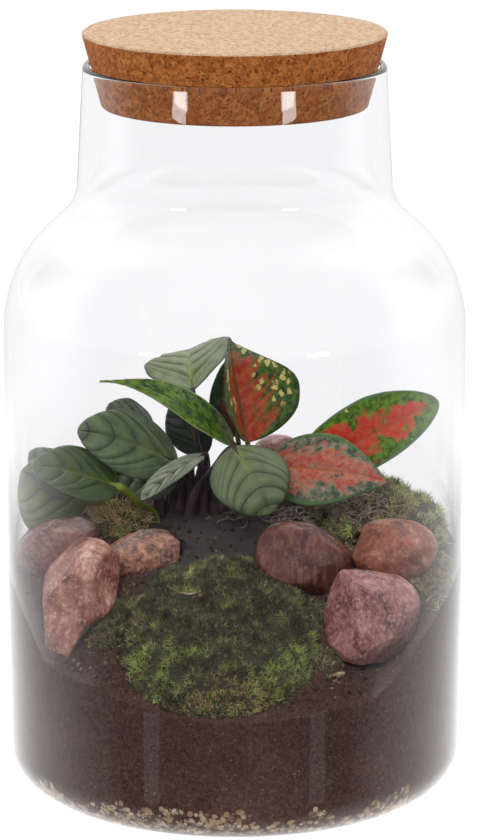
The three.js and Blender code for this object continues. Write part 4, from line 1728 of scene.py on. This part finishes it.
@dataclass
class Litter:
    """What lies loose on the soil: torn moss, a twig, a chip of bark and stringy roots.

    Each heap of moss is a place, its radius in millimetres, how many shoots it has and how dry
    they are. Each scrap is a name, its route and its radii.
    """

    heaps: tuple[tuple[Point, float, int, float], ...] = (
        ((-49, -50, 75), 7.0, 600, 0.1), ((-43, -44, 82), 8.0, 900, 0.1),
        ((32, -46, 80), 7.0, 500, 0.1), ((35, -61, 67), 7.0, 450, 0.2),
        ((80, -24, 95), 13.0, 1100, 0.45), ((80, -33, 86), 10.0, 600, 0.3),
        ((-30, -70, 62), 8.0, 200, 0.1), ((-62, -20, 96), 9.0, 200, 0.6),
    )
    heap_spread: float = 0.45
    shoot_length: Pair = (1.2, 3.6)
    shoot_lean: float = 0.8
    dry_tints: Pair = (0.8, 1.0)
    green_tints: Pair = (0.15, 0.5)
    roots_at: Point = (38.0, -3.0, 111.0)
    roots_reach: Pair = (22.0, 12.0)
    roots: int = 190
    root_radius: Pair = (0.16, 0.45)
    root_taper: float = 0.6
    root_steps: int = 9
    root_stride: Pair = (1.0, 2.0)
    root_wander: float = 0.45
    root_lift: Pair = (0.2, 0.9)
    scraps: tuple[tuple[str, tuple[Point, ...], tuple[float, ...]], ...] = (
        (
            "twig", ((-25, -48, 89), (-21, -50, 90.5), (-17, -51.5, 90.5), (-13, -51, 91.5)),
            (0.3, 0.5, 0.42, 0.2),
        ),
        ("bark_chip", ((37, -66, 62.5), (39.2, -65.5, 62.6), (41.5, -64.6, 63)), (0.5, 1.1, 0.6)),
    )
    seed: int = 77

    def build(self, jar: Jar) -> None:
        """Builds all that lies loose.

        Args:
            jar: The jar that holds it.
        """
        draw = np.random.default_rng(self.seed)
        ground = bpy.data.objects["soil"]
        self.build_heaps(ground, jar, draw)
        self.build_roots([ground, bpy.data.objects["moss_right_core"]], draw)
        for name, route, radii in self.scraps:
            show(tube(name, route, radii), "potting_soil", finish=PALE_BARK)

    def build_heaps(self, ground: Piece, jar: Jar, draw: Chance) -> None:
        """Strews torn moss on the soil.

        Args:
            ground: The soil.
            jar: The jar that holds it.
            draw: The seeded source of numbers.
        """
        shoots = shoots_to_strew()
        for centre, radius, count, dry in self.heaps:
            for i in range(count):
                away = Vector(draw.normal(0, self.heap_spread, 3)) * radius
                hit, place, way, _ = ground.closest_point_on_mesh((Vector(centre) + away) * MM)
                place = place / MM
                lean = way + Vector(draw.normal(0, self.shoot_lean, 3))
                size = draw.uniform(*self.shoot_length)
                if not hit or not jar.holds(place + lean.normalized() * size):
                    continue
                turn = lean.to_track_quat("Z", "Y").to_matrix().to_4x4()
                tints = self.dry_tints if draw.random() < dry else self.green_tints
                shoots.add(i, place, turn, size, draw.uniform(*tints))
        show(shoots.build("moss_litter"), "moss", finish=MOSS_SHOOTS)

    def build_roots(self, grounds: list[Piece], draw: Chance) -> None:
        """Lays stringy roots over the ground where the moss was torn away.

        Args:
            grounds: The pieces that the roots lie on.
            draw: The seeded source of numbers.
        """
        strings = []
        for number in range(self.roots):
            spread = draw.normal(0, 0.45, 2) * np.array(self.roots_reach)
            place = Vector(self.roots_at) + Vector((*spread, 3.0))
            heading = draw.uniform(0, 2 * math.pi)
            route = []
            for _ in range(self.root_steps):
                heading += draw.normal(0, self.root_wander)
                ahead = Vector((math.cos(heading), math.sin(heading), 0))
                place = place + ahead * draw.uniform(*self.root_stride)
                found = [ground.closest_point_on_mesh(place * MM) for ground in grounds]
                _, low, way, _ = min(found, key=lambda hit: (hit[1] - place * MM).length)
                least, more = self.root_lift
                lift = least + more * draw.random()
                place = low / MM + way * lift
                route.append(tuple(place))
            radius = draw.uniform(*self.root_radius)
            radii = [
                radius * (1 - self.root_taper * i / self.root_steps)
                for i in range(self.root_steps)
            ]
            strings.append(tube(f"root_{number}", route, radii, steps=3, roundness=1))
        show(joined("stringy_roots", strings), "potting_soil", finish=DARK_ROOT)


class Outline(Enum):
    """Where a blade is widest, and how full it is towards its base and its tip."""

    HEART = (0.43, 0.42, 1.25)
    LANCE = (0.34, 0.5, 1.5)
    OVATE = (0.42, 0.48, 0.85)
    BLUNT = (0.5, 0.5, 0.55)
    OBLONG = (0.5, 0.55, 0.55)
    ROUND = (0.48, 0.42, 0.45)
    OBOVATE = (0.62, 0.85, 0.42)

    def fullness(self, station: Rows) -> Rows:
        """The share of its half width that a blade has at stations from base to tip."""
        widest, base, tip = self.value
        rising = np.sin(np.clip(station / widest, 0, 1) * math.pi / 2) ** base
        falling = np.sin(np.clip((1 - station) / (1 - widest), 0, 1) * math.pi / 2) ** tip
        return np.where(station <= widest, rising, falling)


@dataclass(frozen=True)
class LeafForm:
    """A leaf's form, in the measures of its solid.

    base and tip are the ends of the midrib and face is the way the upper side looks. Pairs are
    for the left and the right half, seen from above and looking to the tip.
    """

    outline: Outline
    base: Point
    tip: Point
    face: Point
    width: float
    share: Pair
    rise: Pair
    roll: Pair
    arch: float
    sway: float
    droop: float
    wave: float
    route: tuple[Point, ...]

    def midrib(self, station: Rows) -> Rows:
        """Finds points of the midrib.

        Args:
            station: Places along it, from 0 at its base to 1 at the tip.

        Returns:
            The points, in millimetres.
        """
        base, chord = np.array(self.base), np.array(self.tip) - np.array(self.base)
        axis = unit(chord)
        up = np.array(self.face) - axis * (np.array(self.face) @ axis)
        up = unit(up)
        side = np.cross(axis, up)
        along = np.asarray(station)[..., None]
        bow = 4 * along * (1 - along)
        end = np.clip((along - 0.7) / 0.3, 0, None)
        lift = self.arch * bow - self.droop * end ** 2
        return base + chord * along + up * lift + side * self.sway * bow

    def surface(self, station: Rows, across: Rows) -> Rows:
        """Points of the blade.

        Args:
            station: Shares of the way from base to tip.
            across: Shares of the way from the midrib, -1 at the left margin and 1 at the right.

        Returns:
            One point for each station and place across.
        """
        step = 1e-3
        ahead = self.midrib(np.minimum(station + step, 1))
        along = unit(ahead - self.midrib(np.maximum(station - step, 0)))
        face = np.array(self.face)
        up = unit(face - along * (along @ face)[..., None])
        side = np.cross(along, up)
        right = across >= 0
        share = np.where(right, self.share[1], self.share[0])
        rise = np.radians(np.where(right, self.rise[1], self.rise[0]))
        roll = np.radians(np.where(right, self.roll[1], self.roll[0]))
        width = np.maximum(self.width / 2 * share * self.outline.fullness(station), 0.4)
        reach = np.abs(across)
        out = width * np.sin(roll * reach) / roll
        lift = width * (1 - np.cos(roll * reach)) / roll
        ripple = np.sin(4 * math.pi * station) * np.sin(math.pi * station)
        wave = self.wave * reach ** 2 * ripple
        sideways = np.sign(across) * (out * np.cos(rise) - lift * np.sin(rise))
        upwards = out * np.sin(rise) + lift * np.cos(rise) + wave
        return self.midrib(station) + side * sideways[..., None] + up * upwards[..., None]


@dataclass
class Leaf:
    """One leaf: a thin veined blade on its stalk."""

    node: str
    form: LeafForm
    veins: Veins
    upper: AglaonemaBlade | CtenantheBlade
    under: PlantSkin
    stalk: PlantSkin
    slot: str
    stalk_radius: float = 1.0
    stalk_end: float = 0.3
    sheath: float = 0.0
    foot_swell: float = 1.0
    thickness: float = 0.5
    crinkle: float = 0.35
    stations: int = 110
    columns: int = 48
    seed: int = 1

    def build(self) -> None:
        """Builds and dresses the leaf."""
        deselect()
        bpy.ops.mesh.primitive_grid_add(
            x_subdivisions=self.columns, y_subdivisions=self.stations, size=1
        )
        blade = named(self.node + "_veined")
        flat = points_of(blade) * MM
        across = flat[:, 0] * 2
        station = (1 - np.cos(math.pi * (flat[:, 1] + 0.5))) / 2
        sheet = np.column_stack([across * 3, station * 6, np.zeros(len(station))])
        swell = self.crinkle * grain_field(sheet, 1.0, self.seed, octaves=2)
        lift = self.veins.relief(station, np.abs(across)) + swell * np.sin(math.pi * station)
        places = self.form.surface(station, across)
        move_points(blade, places + self.normals(station, across) * lift[:, None])
        map_layer = blade.data.uv_layers.active.data
        for loop in blade.data.loops:
            number = loop.vertex_index
            map_layer[loop.index].uv = (across[number] / 2 + 0.5, station[number])
        for finish in (self.upper, self.under):
            blade.data.materials.append(finish.material())
        modify(blade, "SOLIDIFY", thickness=self.thickness * MM, offset=0.0, material_offset=1)
        bpy.ops.object.shade_smooth()
        show(joined(blade.name, [blade, self.build_stalk()]), self.slot, self.node)

    def normals(self, station: Rows, across: Rows) -> Rows:
        """The way that the upper side looks at each point of the blade."""
        ahead = self.form.surface(np.minimum(station + 0.01, 1), across)
        behind = self.form.surface(np.maximum(station - 0.01, 0), across)
        right = self.form.surface(station, np.minimum(across + 0.03, 1))
        left = self.form.surface(station, np.maximum(across - 0.03, -1))
        return unit(np.cross(right - left, ahead - behind))

    def build_stalk(self) -> Piece:
        """Builds the stalk, on under the base of the blade."""
        form, radius = self.form, self.stalk_radius
        under = form.midrib(np.array([0.06, 0.2])) - unit(np.array(form.face)) * 0.5
        route = [*form.route, form.base, *under]
        radii = [radius] * len(form.route) + [radius * 1.05, radius * 0.8, self.stalk_end]
        radii[0] = radius * self.foot_swell
        radii[1] = radius * (1 + self.foot_swell) / 2
        if self.sheath:
            radii[-4:-1] = [self.sheath * 0.6, self.sheath, self.sheath * 0.7]
        stalk = tube(self.node + "_stalk", route, radii)
        stalk.data.materials.append(self.stalk.material())
        return stalk


def rooted(x: float, y: float) -> Point:
    """A place in the soil where a stalk begins."""
    return (x, y, 96.0)


AGLAONEMA_FORMS = (
    LeafForm(
        Outline.HEART, (5, -2, 138), (-2.5, 7, 177.5), (0.66, -0.75, 0.1), 48, (0.8, 1.1),
        (40, 36), (-10, -25), -1, 0, 0, 0.8, ((3, 4, 126), (4, 1, 133)),
    ),
    LeafForm(
        Outline.LANCE, (-0.5, -3, 137.5), (-50.5, -14, 167.8), (0.35, -0.35, 0.88), 25, (0.62, 0.75),
        (0.1, 10), (-15, 5), 5, 0, 3.5, 0.3, ((3, 4, 121), (0.5, 0, 130)),
    ),
    LeafForm(
        Outline.BLUNT, (24, 8, 124), (79, -4, 155.5), (-0.15, -0.8, 0.6), 32, (1, 0.86),
        (12, 12), (-20, -20), 2, 2, 2, 0.5, ((3, 4, 113), (11, 6, 118)),
    ),
    LeafForm(
        Outline.OVATE, (12, -3, 128), (58.5, -18, 127), (0, -0.75, 0.65), 31, (1.05, 1),
        (12, 12), (-25, -40), 3, 0, 2, 0.4, ((3, 4, 118), (7, 1, 123)),
    ),
    LeafForm(
        Outline.OVATE, (1, 7, 138), (-4, 11, 167), (0.05, -1, 0.1), 18, (1, 1),
        (10, 10), (-10, -10), 0, 0, 0, 0.3, ((3, 4, 124), (2, 7, 131)),
    ),
)
AGLAONEMA_BLADES = (
    AglaonemaBlade(
        "aglaonema_red_upright", seed=3.0, red_share=0.58, fleck_share=0.46, red_reach=0.62,
        blotch_share=0.35, fine=2.0, run=2.2, red="#961a04", second="#b04c1e", green="#4a6e1c",
        dark="#17330f", fleck="#cfc270", fleck_count=0.55, fleck_size=3.0, fleck_from=0.26,
        fleck_above=0.3, red_end=1.0,
    ),
    AglaonemaBlade(
        "aglaonema_green_curled", seed=7.0, red_share=-0.1, fleck_share=0.1, green="#638a26",
        dark="#1b3410",
        red="#8a4a26", second="#9a6a34", rim="#8a9566", midrib="#1f3a18", mottle=3.2,
    ),
    AglaonemaBlade(
        "aglaonema_bright", seed=11.0, red_share=0.68, fleck_share=0.25, green="#5f8804", dark="#2c4a04",
        red="#c01c14", second="#b84e2c", rim="#56745a", midrib="#a8492c", blotch=8.0, blotch_share=0.7,
        red_reach=0.6, red_end=0.98, fleck_from=0.55, fleck_count=0.15,
    ),
    # This blade's grey-pink green is painted sheen, a reflection laid into its colour; its red patches and
    # dark green dashes are its own.
    AglaonemaBlade(
        "aglaonema_painted_sheen", seed=15.0, red_share=0.5, fleck_share=0.02, green="#8f8672", dark="#2f4c3a",
        red="#a8322a", second="#b4725c", blotch=6.0, blotch_share=0.4, midrib="#a05c34", rim="#456a38",
        red_reach=0.75, mottle=3.0, rim_from=0.85,
    ),
    # A darker copy of the aglaonema's skin for a leaf that stands in shade: painted shade.
    AglaonemaBlade(
        "aglaonema_shaded", seed=19.0, red_share=0.4, fleck_share=0.1, green="#1c3a14", dark="#0f2410",
        red="#8a201c", second="#6a2a1a",
    ),
)
CTENANTHE_FORMS = (
    LeafForm(
        Outline.ROUND, (-0.5, -12, 138.5), (13.5, -28, 117), (0.1, -0.75, 0.66), 32, (1, 1.05),
        (6, 6), (-35, -30), 3, 0, 2, 0.3, (rooted(-19, 3), (-17, 1, 113), (-9, -6, 128)),
    ),
    LeafForm(
        Outline.OBOVATE, (-16.5, 4, 157.5), (-19, 36, 167), (-0.2, -0.38, 0.9), 38, (0.95, 1),
        (6, 10), (-10, 5), 2, 0, 1, 0.4, (rooted(-10, 11), (-12, 11, 115), (-15.5, 7, 140)),
    ),
    LeafForm(
        Outline.OBLONG, (-22.5, -2, 129.5), (-60, -16, 147), (-0.1, -0.75, 0.65), 28, (1, 1),
        (8, 10), (-25, -25), 3, 0, 2, 0.4, (rooted(-18, 9), (-17.5, 8, 111), (-18.5, 3, 122)),
    ),
    LeafForm(
        Outline.OBLONG, (-45, -18, 124), (-76, -30, 136.5), (-0.1, -0.7, 0.7), 23.5, (1, 1),
        (10, 10), (-20, -20), 2, 0, 2, 0.3, (rooted(-31, 2), (-30.5, 0, 107), (-37, -9, 115)),
    ),
    LeafForm(
        Outline.OBLONG, (-64, -2, 116.5), (-80, -12, 136.5), (-0.1, -0.7, 0.7), 17, (1, 1),
        (10, 10), (-20, -20), 2, 0, 0, 0.3, (rooted(-36, 16), (-41, 16, 109), (-54, 6, 114)),
    ),
    LeafForm(
        Outline.OBLONG, (-58.5, 11, 110.5), (-84.5, -1, 126), (-0.3, -0.85, 0.4), 36, (1.15, 0.6),
        (10, 10), (-20, -20), 2, 0, 0, 0.5, (rooted(-42, 20), (-45, 19, 106)),
    ),
    LeafForm(
        Outline.OBLONG, (-32, 16, 138), (-51, 8, 148.5), (0, -0.5, 0.86), 17, (1, 1),
        (10, 20), (-20, -20), 2, 0, 0, 0.3, (rooted(-24, 19), (-25.5, 19, 115), (-30, 18, 130)),
    ),
    LeafForm(
        Outline.OBLONG, (-11.5, 15, 129), (-24, 25, 148.5), (-0.5, -0.8, 0.4), 20, (1, 1),
        (10, 10), (-20, -20), 2, 0, 0, 0.3, (rooted(-8, 17), (-9, 17, 113), (-10.5, 15, 122)),
    ),
    LeafForm(
        Outline.OBLONG, (-12, -6, 134), (-36, -26, 121), (-0.25, -0.6, 0.7), 10, (1, 1),
        (12, 12), (-10, -10), 1, 1, 0, 0.2, (rooted(-13, 6), (-12.5, 5, 113), (-12, 0, 127)),
    ),
    LeafForm(
        Outline.OBLONG, (-22.5, 3, 123.5), (-48, -5, 125), (0, -0.7, 0.7), 25, (1, 1),
        (10, 10), (-20, -20), 2, 0, 0, 0.3, (rooted(-25, 10), (-25, 10, 110), (-24, 5, 118)),
    ),
)
# The blades are one plant's skin in copies whose tones are set leaf by leaf: apart from some real difference
# between leaves, the lighter ones carry painted light and the darker ones painted shade.
CTENANTHE_BLADES = (
    CtenantheBlade("ctenanthe_round", green="#516142", light="#6f7d55", midrib="#899537", midrib_reach=0.3),
    CtenantheBlade("ctenanthe_raised", green="#52693a", light="#798961", midrib="#7d982a", midrib_reach=0.5),
    CtenantheBlade("ctenanthe_broad", green="#3e4f34", light="#60754f", vein="#233220", vein_share=0.8),
    CtenantheBlade(
        "ctenanthe_low", green="#213a0f", light="#39531b", midrib="#5d7218", midrib_reach=0.7, vein="#112106",
        margin="#394c28", vein_share=0.8,
    ),
    CtenantheBlade("ctenanthe_edge", green="#56655a", light="#75836f"),
    CtenantheBlade(
        "ctenanthe_on_glass", green="#5b6939", light="#7b854e", vein="#3b4b27", midrib="#4c592b",
        midrib_reach=0.9, vein_share=0.8,
    ),
    CtenantheBlade("ctenanthe_behind", green="#40513f", light="#5a6c55"),
    # The darkest copy, for a leaf that stands in shade: painted shade.
    CtenantheBlade("ctenanthe_shaded", green="#212d24", light="#334034"),
    CtenantheBlade("ctenanthe_narrow", green="#606b57", light="#939784"),
    CtenantheBlade("ctenanthe_small", green="#435338", light="#63734f"),
)
# The ctenanthe leaves with a sheath round the foot of the stalk, and those that are green below.
SHEATHED = (3, 5)
PALE_BELOW = (4, 5)


@dataclass
class Plants:
    """The aglaonema with its cane, and the clump of ctenanthe.

    Each old sheath stands at a place, reaches up to a height and leans aside.
    """

    cane_at: Pair = (3.0, 4.0)
    cane_foot: float = 94.0
    cane_top: float = 128.0
    cane_radius: float = 3.3
    cane_rings: int = 6
    ring_reach: float = 0.9
    ring_rise: float = 0.3
    ring_waist: float = 0.2
    sheath_low: Pair = (98.0, 106.0)
    sheath_radii: tuple[float, ...] = (2.8, 2.6, 2.3, 0.7)
    old_sheaths: tuple[tuple[float, float, float, float], ...] = (
        (-30, 9, 121, -1.0), (-26, 12, 126, 1.0), (-22.5, 10, 125, 2.0), (-19, 12, 128, 2.0),
        (-15.5, 10, 126, 1.5), (-12, 12, 128, 0.5), (-8.5, 9, 124, 1.5), (-5, 8, 120, 1.0),
    )

    def build(self) -> None:
        """Builds the cane and every leaf."""
        self.build_cane()
        self.build_old_sheaths()
        for i, (form, finish) in enumerate(zip(AGLAONEMA_FORMS, AGLAONEMA_BLADES)):
            Leaf(
                f"aglaonema_leaf_{i + 1}", form, AGLAONEMA_VEINS, finish, AGLAONEMA_UNDERSIDE,
                AGLAONEMA_STALK, "aglaonema_leaf", seed=i + 1,
            ).build()
        for i, (form, finish) in enumerate(zip(CTENANTHE_FORMS, CTENANTHE_BLADES)):
            sheathed = i in SHEATHED
            Leaf(
                f"ctenanthe_leaf_{i + 1}", form, CTENANTHE_VEINS, finish,
                GREEN_UNDERSIDE if i in PALE_BELOW else PURPLE_UNDERSIDE,
                GREEN_SHEATH if sheathed else PURPLE_STALK, "ctenanthe_leaf",
                sheath=1.9 if sheathed else 0.0, foot_swell=0.4 if sheathed else 2.7, seed=i + 21,
            ).build()

    def build_old_sheaths(self) -> None:
        """Builds the withered sheaths of old ctenanthe leaves at the foot of the clump."""
        foot, neck = self.sheath_low
        sheaths = []
        for i, (x, y, height, lean) in enumerate(self.old_sheaths):
            route = [
                (x, y, foot), (x, y, neck), (x + 0.5 * lean, y, 0.5 * (neck + height)),
                (x + lean, y - 1, height),
            ]
            sheaths.append(tube(f"old_sheath_{i}", route, self.sheath_radii))
        show(joined("old_sheaths", sheaths), "ctenanthe_leaf", finish=PURPLE_STALK)

    def build_cane(self) -> None:
        """Builds the cane, ringed where old leaves stood."""
        profile = [(self.cane_radius, self.cane_foot)]
        pitch = (self.cane_top - self.cane_foot) / self.cane_rings
        waist = self.cane_radius - self.ring_waist
        for i in range(1, self.cane_rings):
            height = self.cane_foot + i * pitch
            profile += [
                (waist, height - self.ring_reach), (self.cane_radius + self.ring_rise, height),
                (waist, height + self.ring_reach),
            ]
        profile.append((self.cane_radius - 2 * self.ring_waist, self.cane_top))
        piece = lathe("cane", profile, 28)
        places = points_of(piece)
        places[:, :2] += self.cane_at
        move_points(piece, places)
        show(piece, "cane", "aglaonema_cane", finish=CANE_SKIN)


@dataclass(frozen=True)
class Lamp:
    """A soft box of a width and height that looks at the jar's axis, at the height of its aim."""

    name: str
    place: Point
    size: Pair
    watts: float
    aim: float = 100.0
    mirrored: bool = False

    def build(self) -> None:
        """Hangs the lamp."""
        deselect()
        place = Vector(self.place) * MM
        bpy.ops.object.light_add(type="AREA", location=place)
        lamp = bpy.context.active_object
        lamp.name = self.name
        lamp.data.shape = "RECTANGLE"
        lamp.data.size, lamp.data.size_y = (side * MM for side in self.size)
        lamp.data.energy = self.watts
        lamp.visible_camera = False
        lamp.visible_glossy = lamp.visible_transmission = self.mirrored
        target = Vector((0, 0, self.aim * MM))
        lamp.rotation_euler = (target - place).to_track_quat("-Z", "Y").to_euler()


LAMPS = (
    Lamp("crown", (0.0, 700.0, 1900.0), (700.0, 420.0), 4.5, mirrored=True),
    Lamp("overhead", (0.0, -200.0, 1900.0), (1400.0, 1400.0), 8.0),
    Lamp("fill", (-150.0, -1900.0, 1500.0), (1400.0, 1400.0), 24.0),
    Lamp("bounce", (0.0, -330.0, -200.0), (500.0, 160.0), 0.35),
)


@dataclass
class Studio:
    """A white studio: pale floor, soft surround, two upright strip lights and a box overhead.

    Pairs for the surround are heights or ways to the back between which its light changes, as
    shares of a direction. A strip is a name, its height, size and power, once at each turn.
    """

    camera_place: Point = (2.4, -1530.0, 527.7)
    camera_pitch: float = 14.0
    focal_pixels: float = 4014.0
    picture_height: float = 840.0
    sensor: float = 36.0
    sight: Pair = (50.0, 60000.0)
    floor_colour: str = "#5c5c5c"
    floor_dark: str = "#161616"
    floor_glow: float = 0.95
    floor_size: float = 30000.0
    floor_lit_from: float = -112.0
    floor_fade: float = 14.0
    floor_lane: float = 190.0
    lane_end: float = 304.0
    floor_behind: Pair = (-0.3, 0.4)
    ring_from: float = 230.0
    ring_full: float = 370.0
    ring_end: float = 620.0
    ring_dark: float = 0.8
    far_from: float = 900.0
    far_dark: float = 0.04
    view_spread: float = 0.062
    view_edge: Pair = (115.0, 180.0)
    surround: float = 1.0
    front_share: float = 0.5
    front_turn: Pair = (-0.2, 0.3)
    low_back: float = 3.3
    level_back: float = 0.75
    low_slope: Pair = (-0.33, -0.22)
    low_front: float = 0.05
    low_turn: Pair = (-0.5, 1.0)
    horizon: Pair = (-0.14, 0.06)
    zenith: float = 1.4
    zenith_slope: Pair = (0.2, 1.0)
    strip_turns: Pair = (-40.5, 40.0)
    strip_distance: float = 1300.0
    strips: tuple[tuple[str, float, Pair, float], ...] = (
        ("strip", 216.0, (235.0, 52.0), 0.35), ("low_strip", -432.0, (180.0, 200.0), 0.05),
    )
    bounces: int = 40

    def build(self) -> None:
        """Builds the studio and its camera."""
        self.build_floor()
        self.build_surround()
        self.build_lights()
        self.build_camera()
        scene = bpy.context.scene
        scene.view_settings.view_transform = "Standard"
        for kind in ("max", "transmission", "glossy"):
            setattr(scene.cycles, kind + "_bounces", self.bounces)
        scene.cycles.caustics_refractive = False
        scene.cycles.caustics_reflective = False

    def build_floor(self) -> None:
        """Lays the floor, which is left dark in front of what the picture shows."""
        deselect()
        bpy.ops.mesh.primitive_plane_add(size=self.floor_size * MM)
        floor = named("floor")
        floor.visible_glossy = False
        floor.visible_shadow = False
        material, tree, place = new_material("pale_floor")
        away = add_node(tree, "VectorMath.NORMALIZE", [place])
        behind = add_node(
            tree, "MapRange", [add_node(tree, "SeparateXYZ", [away]).outputs[1],
            self.floor_behind[0], self.floor_behind[1]], **SOFT
        )
        x, y, _ = add_node(tree, "SeparateXYZ", [place]).outputs
        aside = add_node(tree, "Math.ABSOLUTE", [x])
        distance = add_node(tree, "VectorMath.LENGTH", [place]).outputs["Value"]
        margin = add_node(tree, "Math.MULTIPLY_ADD", [y, -self.view_spread, aside])
        near_side, seen, far, beyond, unseen = (
            add_node(tree, "MapRange", [value, start * MM, end * MM], **SOFT)
            for value, start, end in (
                (y, self.floor_lit_from - self.floor_fade, self.floor_lit_from),
                (aside, self.lane_end, self.floor_lane),
                (distance, self.ring_from, self.ring_full),
                (distance, self.ring_end, self.ring_full),
                (margin, *self.view_edge),
            )
        )
        lane = add_node(tree, "Math.MULTIPLY", [near_side, seen])
        lit = add_node(tree, "Math.MAXIMUM", [behind, lane])
        in_ring = add_node(tree, "Math.MULTIPLY", [far, beyond])
        dark_ring = add_node(tree, "Math.MULTIPLY", [in_ring, self.ring_dark])
        dark_far = add_node(
            tree, "MapRange", [distance, self.ring_end * MM, self.far_from * MM, 0.0, self.far_dark]
        )
        dark = add_node(tree, "Math.MAXIMUM", [dark_ring, dark_far])
        shade = add_node(tree, "Math.MULTIPLY", [dark, unseen])
        kept = add_node(tree, "Math.MULTIPLY_ADD", [shade, -1.0, 1.0])
        lit = add_node(tree, "Math.MULTIPLY", [lit, kept])
        glow = add_node(tree, "Math.MULTIPLY", [lit, self.floor_glow])
        coated(material, {
            "Base Color": layered(tree, self.floor_dark, (lit, self.floor_colour)),
            "Roughness": 0.9, "Specular IOR Level": 0.0, "Emission Color": (1, 1, 1, 1),
            "Emission Strength": glow,
        })
        floor.data.materials.append(material)

    def build_surround(self) -> None:
        """Lights the room: white above, and low down from dark in front to bright behind."""
        world = bpy.data.worlds.new("studio")
        bpy.context.scene.world = world
        world.use_nodes = True
        tree = world.node_tree
        tree.nodes.clear()
        way = add_node(tree, "TexCoord").outputs["Generated"]
        _, back, up = add_node(tree, "SeparateXYZ", [way]).outputs
        low_back, rising, level, turned = (
            add_node(tree, "MapRange", [value, start, end, first, last], **SOFT)
            for value, (start, end), first, last in (
                (up, self.low_slope, self.low_back, self.level_back),
                (up, self.horizon, 0.0, 1.0),
                (up, self.zenith_slope, self.surround, self.zenith),
                (back, self.front_turn, self.front_share, 1.0),
            )
        )
        low = add_node(
            tree, "MapRange", [back, self.low_turn[0], self.low_turn[1], self.low_front, low_back]
        )
        high = add_node(tree, "Math.MULTIPLY", [level, turned])
        light = add_node(tree, "Mix", {0: rising, 2: low, 3: high})
        glow = add_node(tree, "Background", {"Color": (1, 1, 1, 1), "Strength": light})
        add_node(tree, "OutputWorld", {"Surface": glow})

    def build_lights(self) -> None:
        """Hangs the strips that the glass mirrors, and then the other lamps."""
        for i, turn in enumerate(self.strip_turns):
            angle = math.radians(turn)
            out = Vector((math.sin(angle), -math.cos(angle))) * self.strip_distance
            for name, height, size, watts in self.strips:
                Lamp(f"{name}_{i}", (*out, height), size, watts, height, mirrored=True).build()
        for lamp in LAMPS:
            lamp.build()

    def build_camera(self) -> None:
        """Sets up the camera, a long lens that looks a little down."""
        deselect()
        place = Vector(self.camera_place) * MM
        turn = (math.radians(90 - self.camera_pitch), 0, 0)
        bpy.ops.object.camera_add(location=place, rotation=turn)
        camera = bpy.context.active_object
        camera.data.sensor_width = self.sensor
        camera.data.lens = self.focal_pixels / self.picture_height * self.sensor
        camera.data.clip_start, camera.data.clip_end = (MM * reach for reach in self.sight)
        bpy.context.scene.camera = camera


def main() -> None:
    """Builds the studio and every piece of the terrarium, in order."""
    logging.basicConfig(level=logging.INFO, format="%(message)s")
    Studio().build()
    jar = Jar()
    jar.build()
    CorkLid().build()
    Grit().build(jar)
    Soil().build(jar)
    for stone in STONES:
        stone.build()
    for moss in MOSSES:
        moss.build()
    Litter().build(jar)
    Plants().build()


if __name__ == "__main__":
    main()
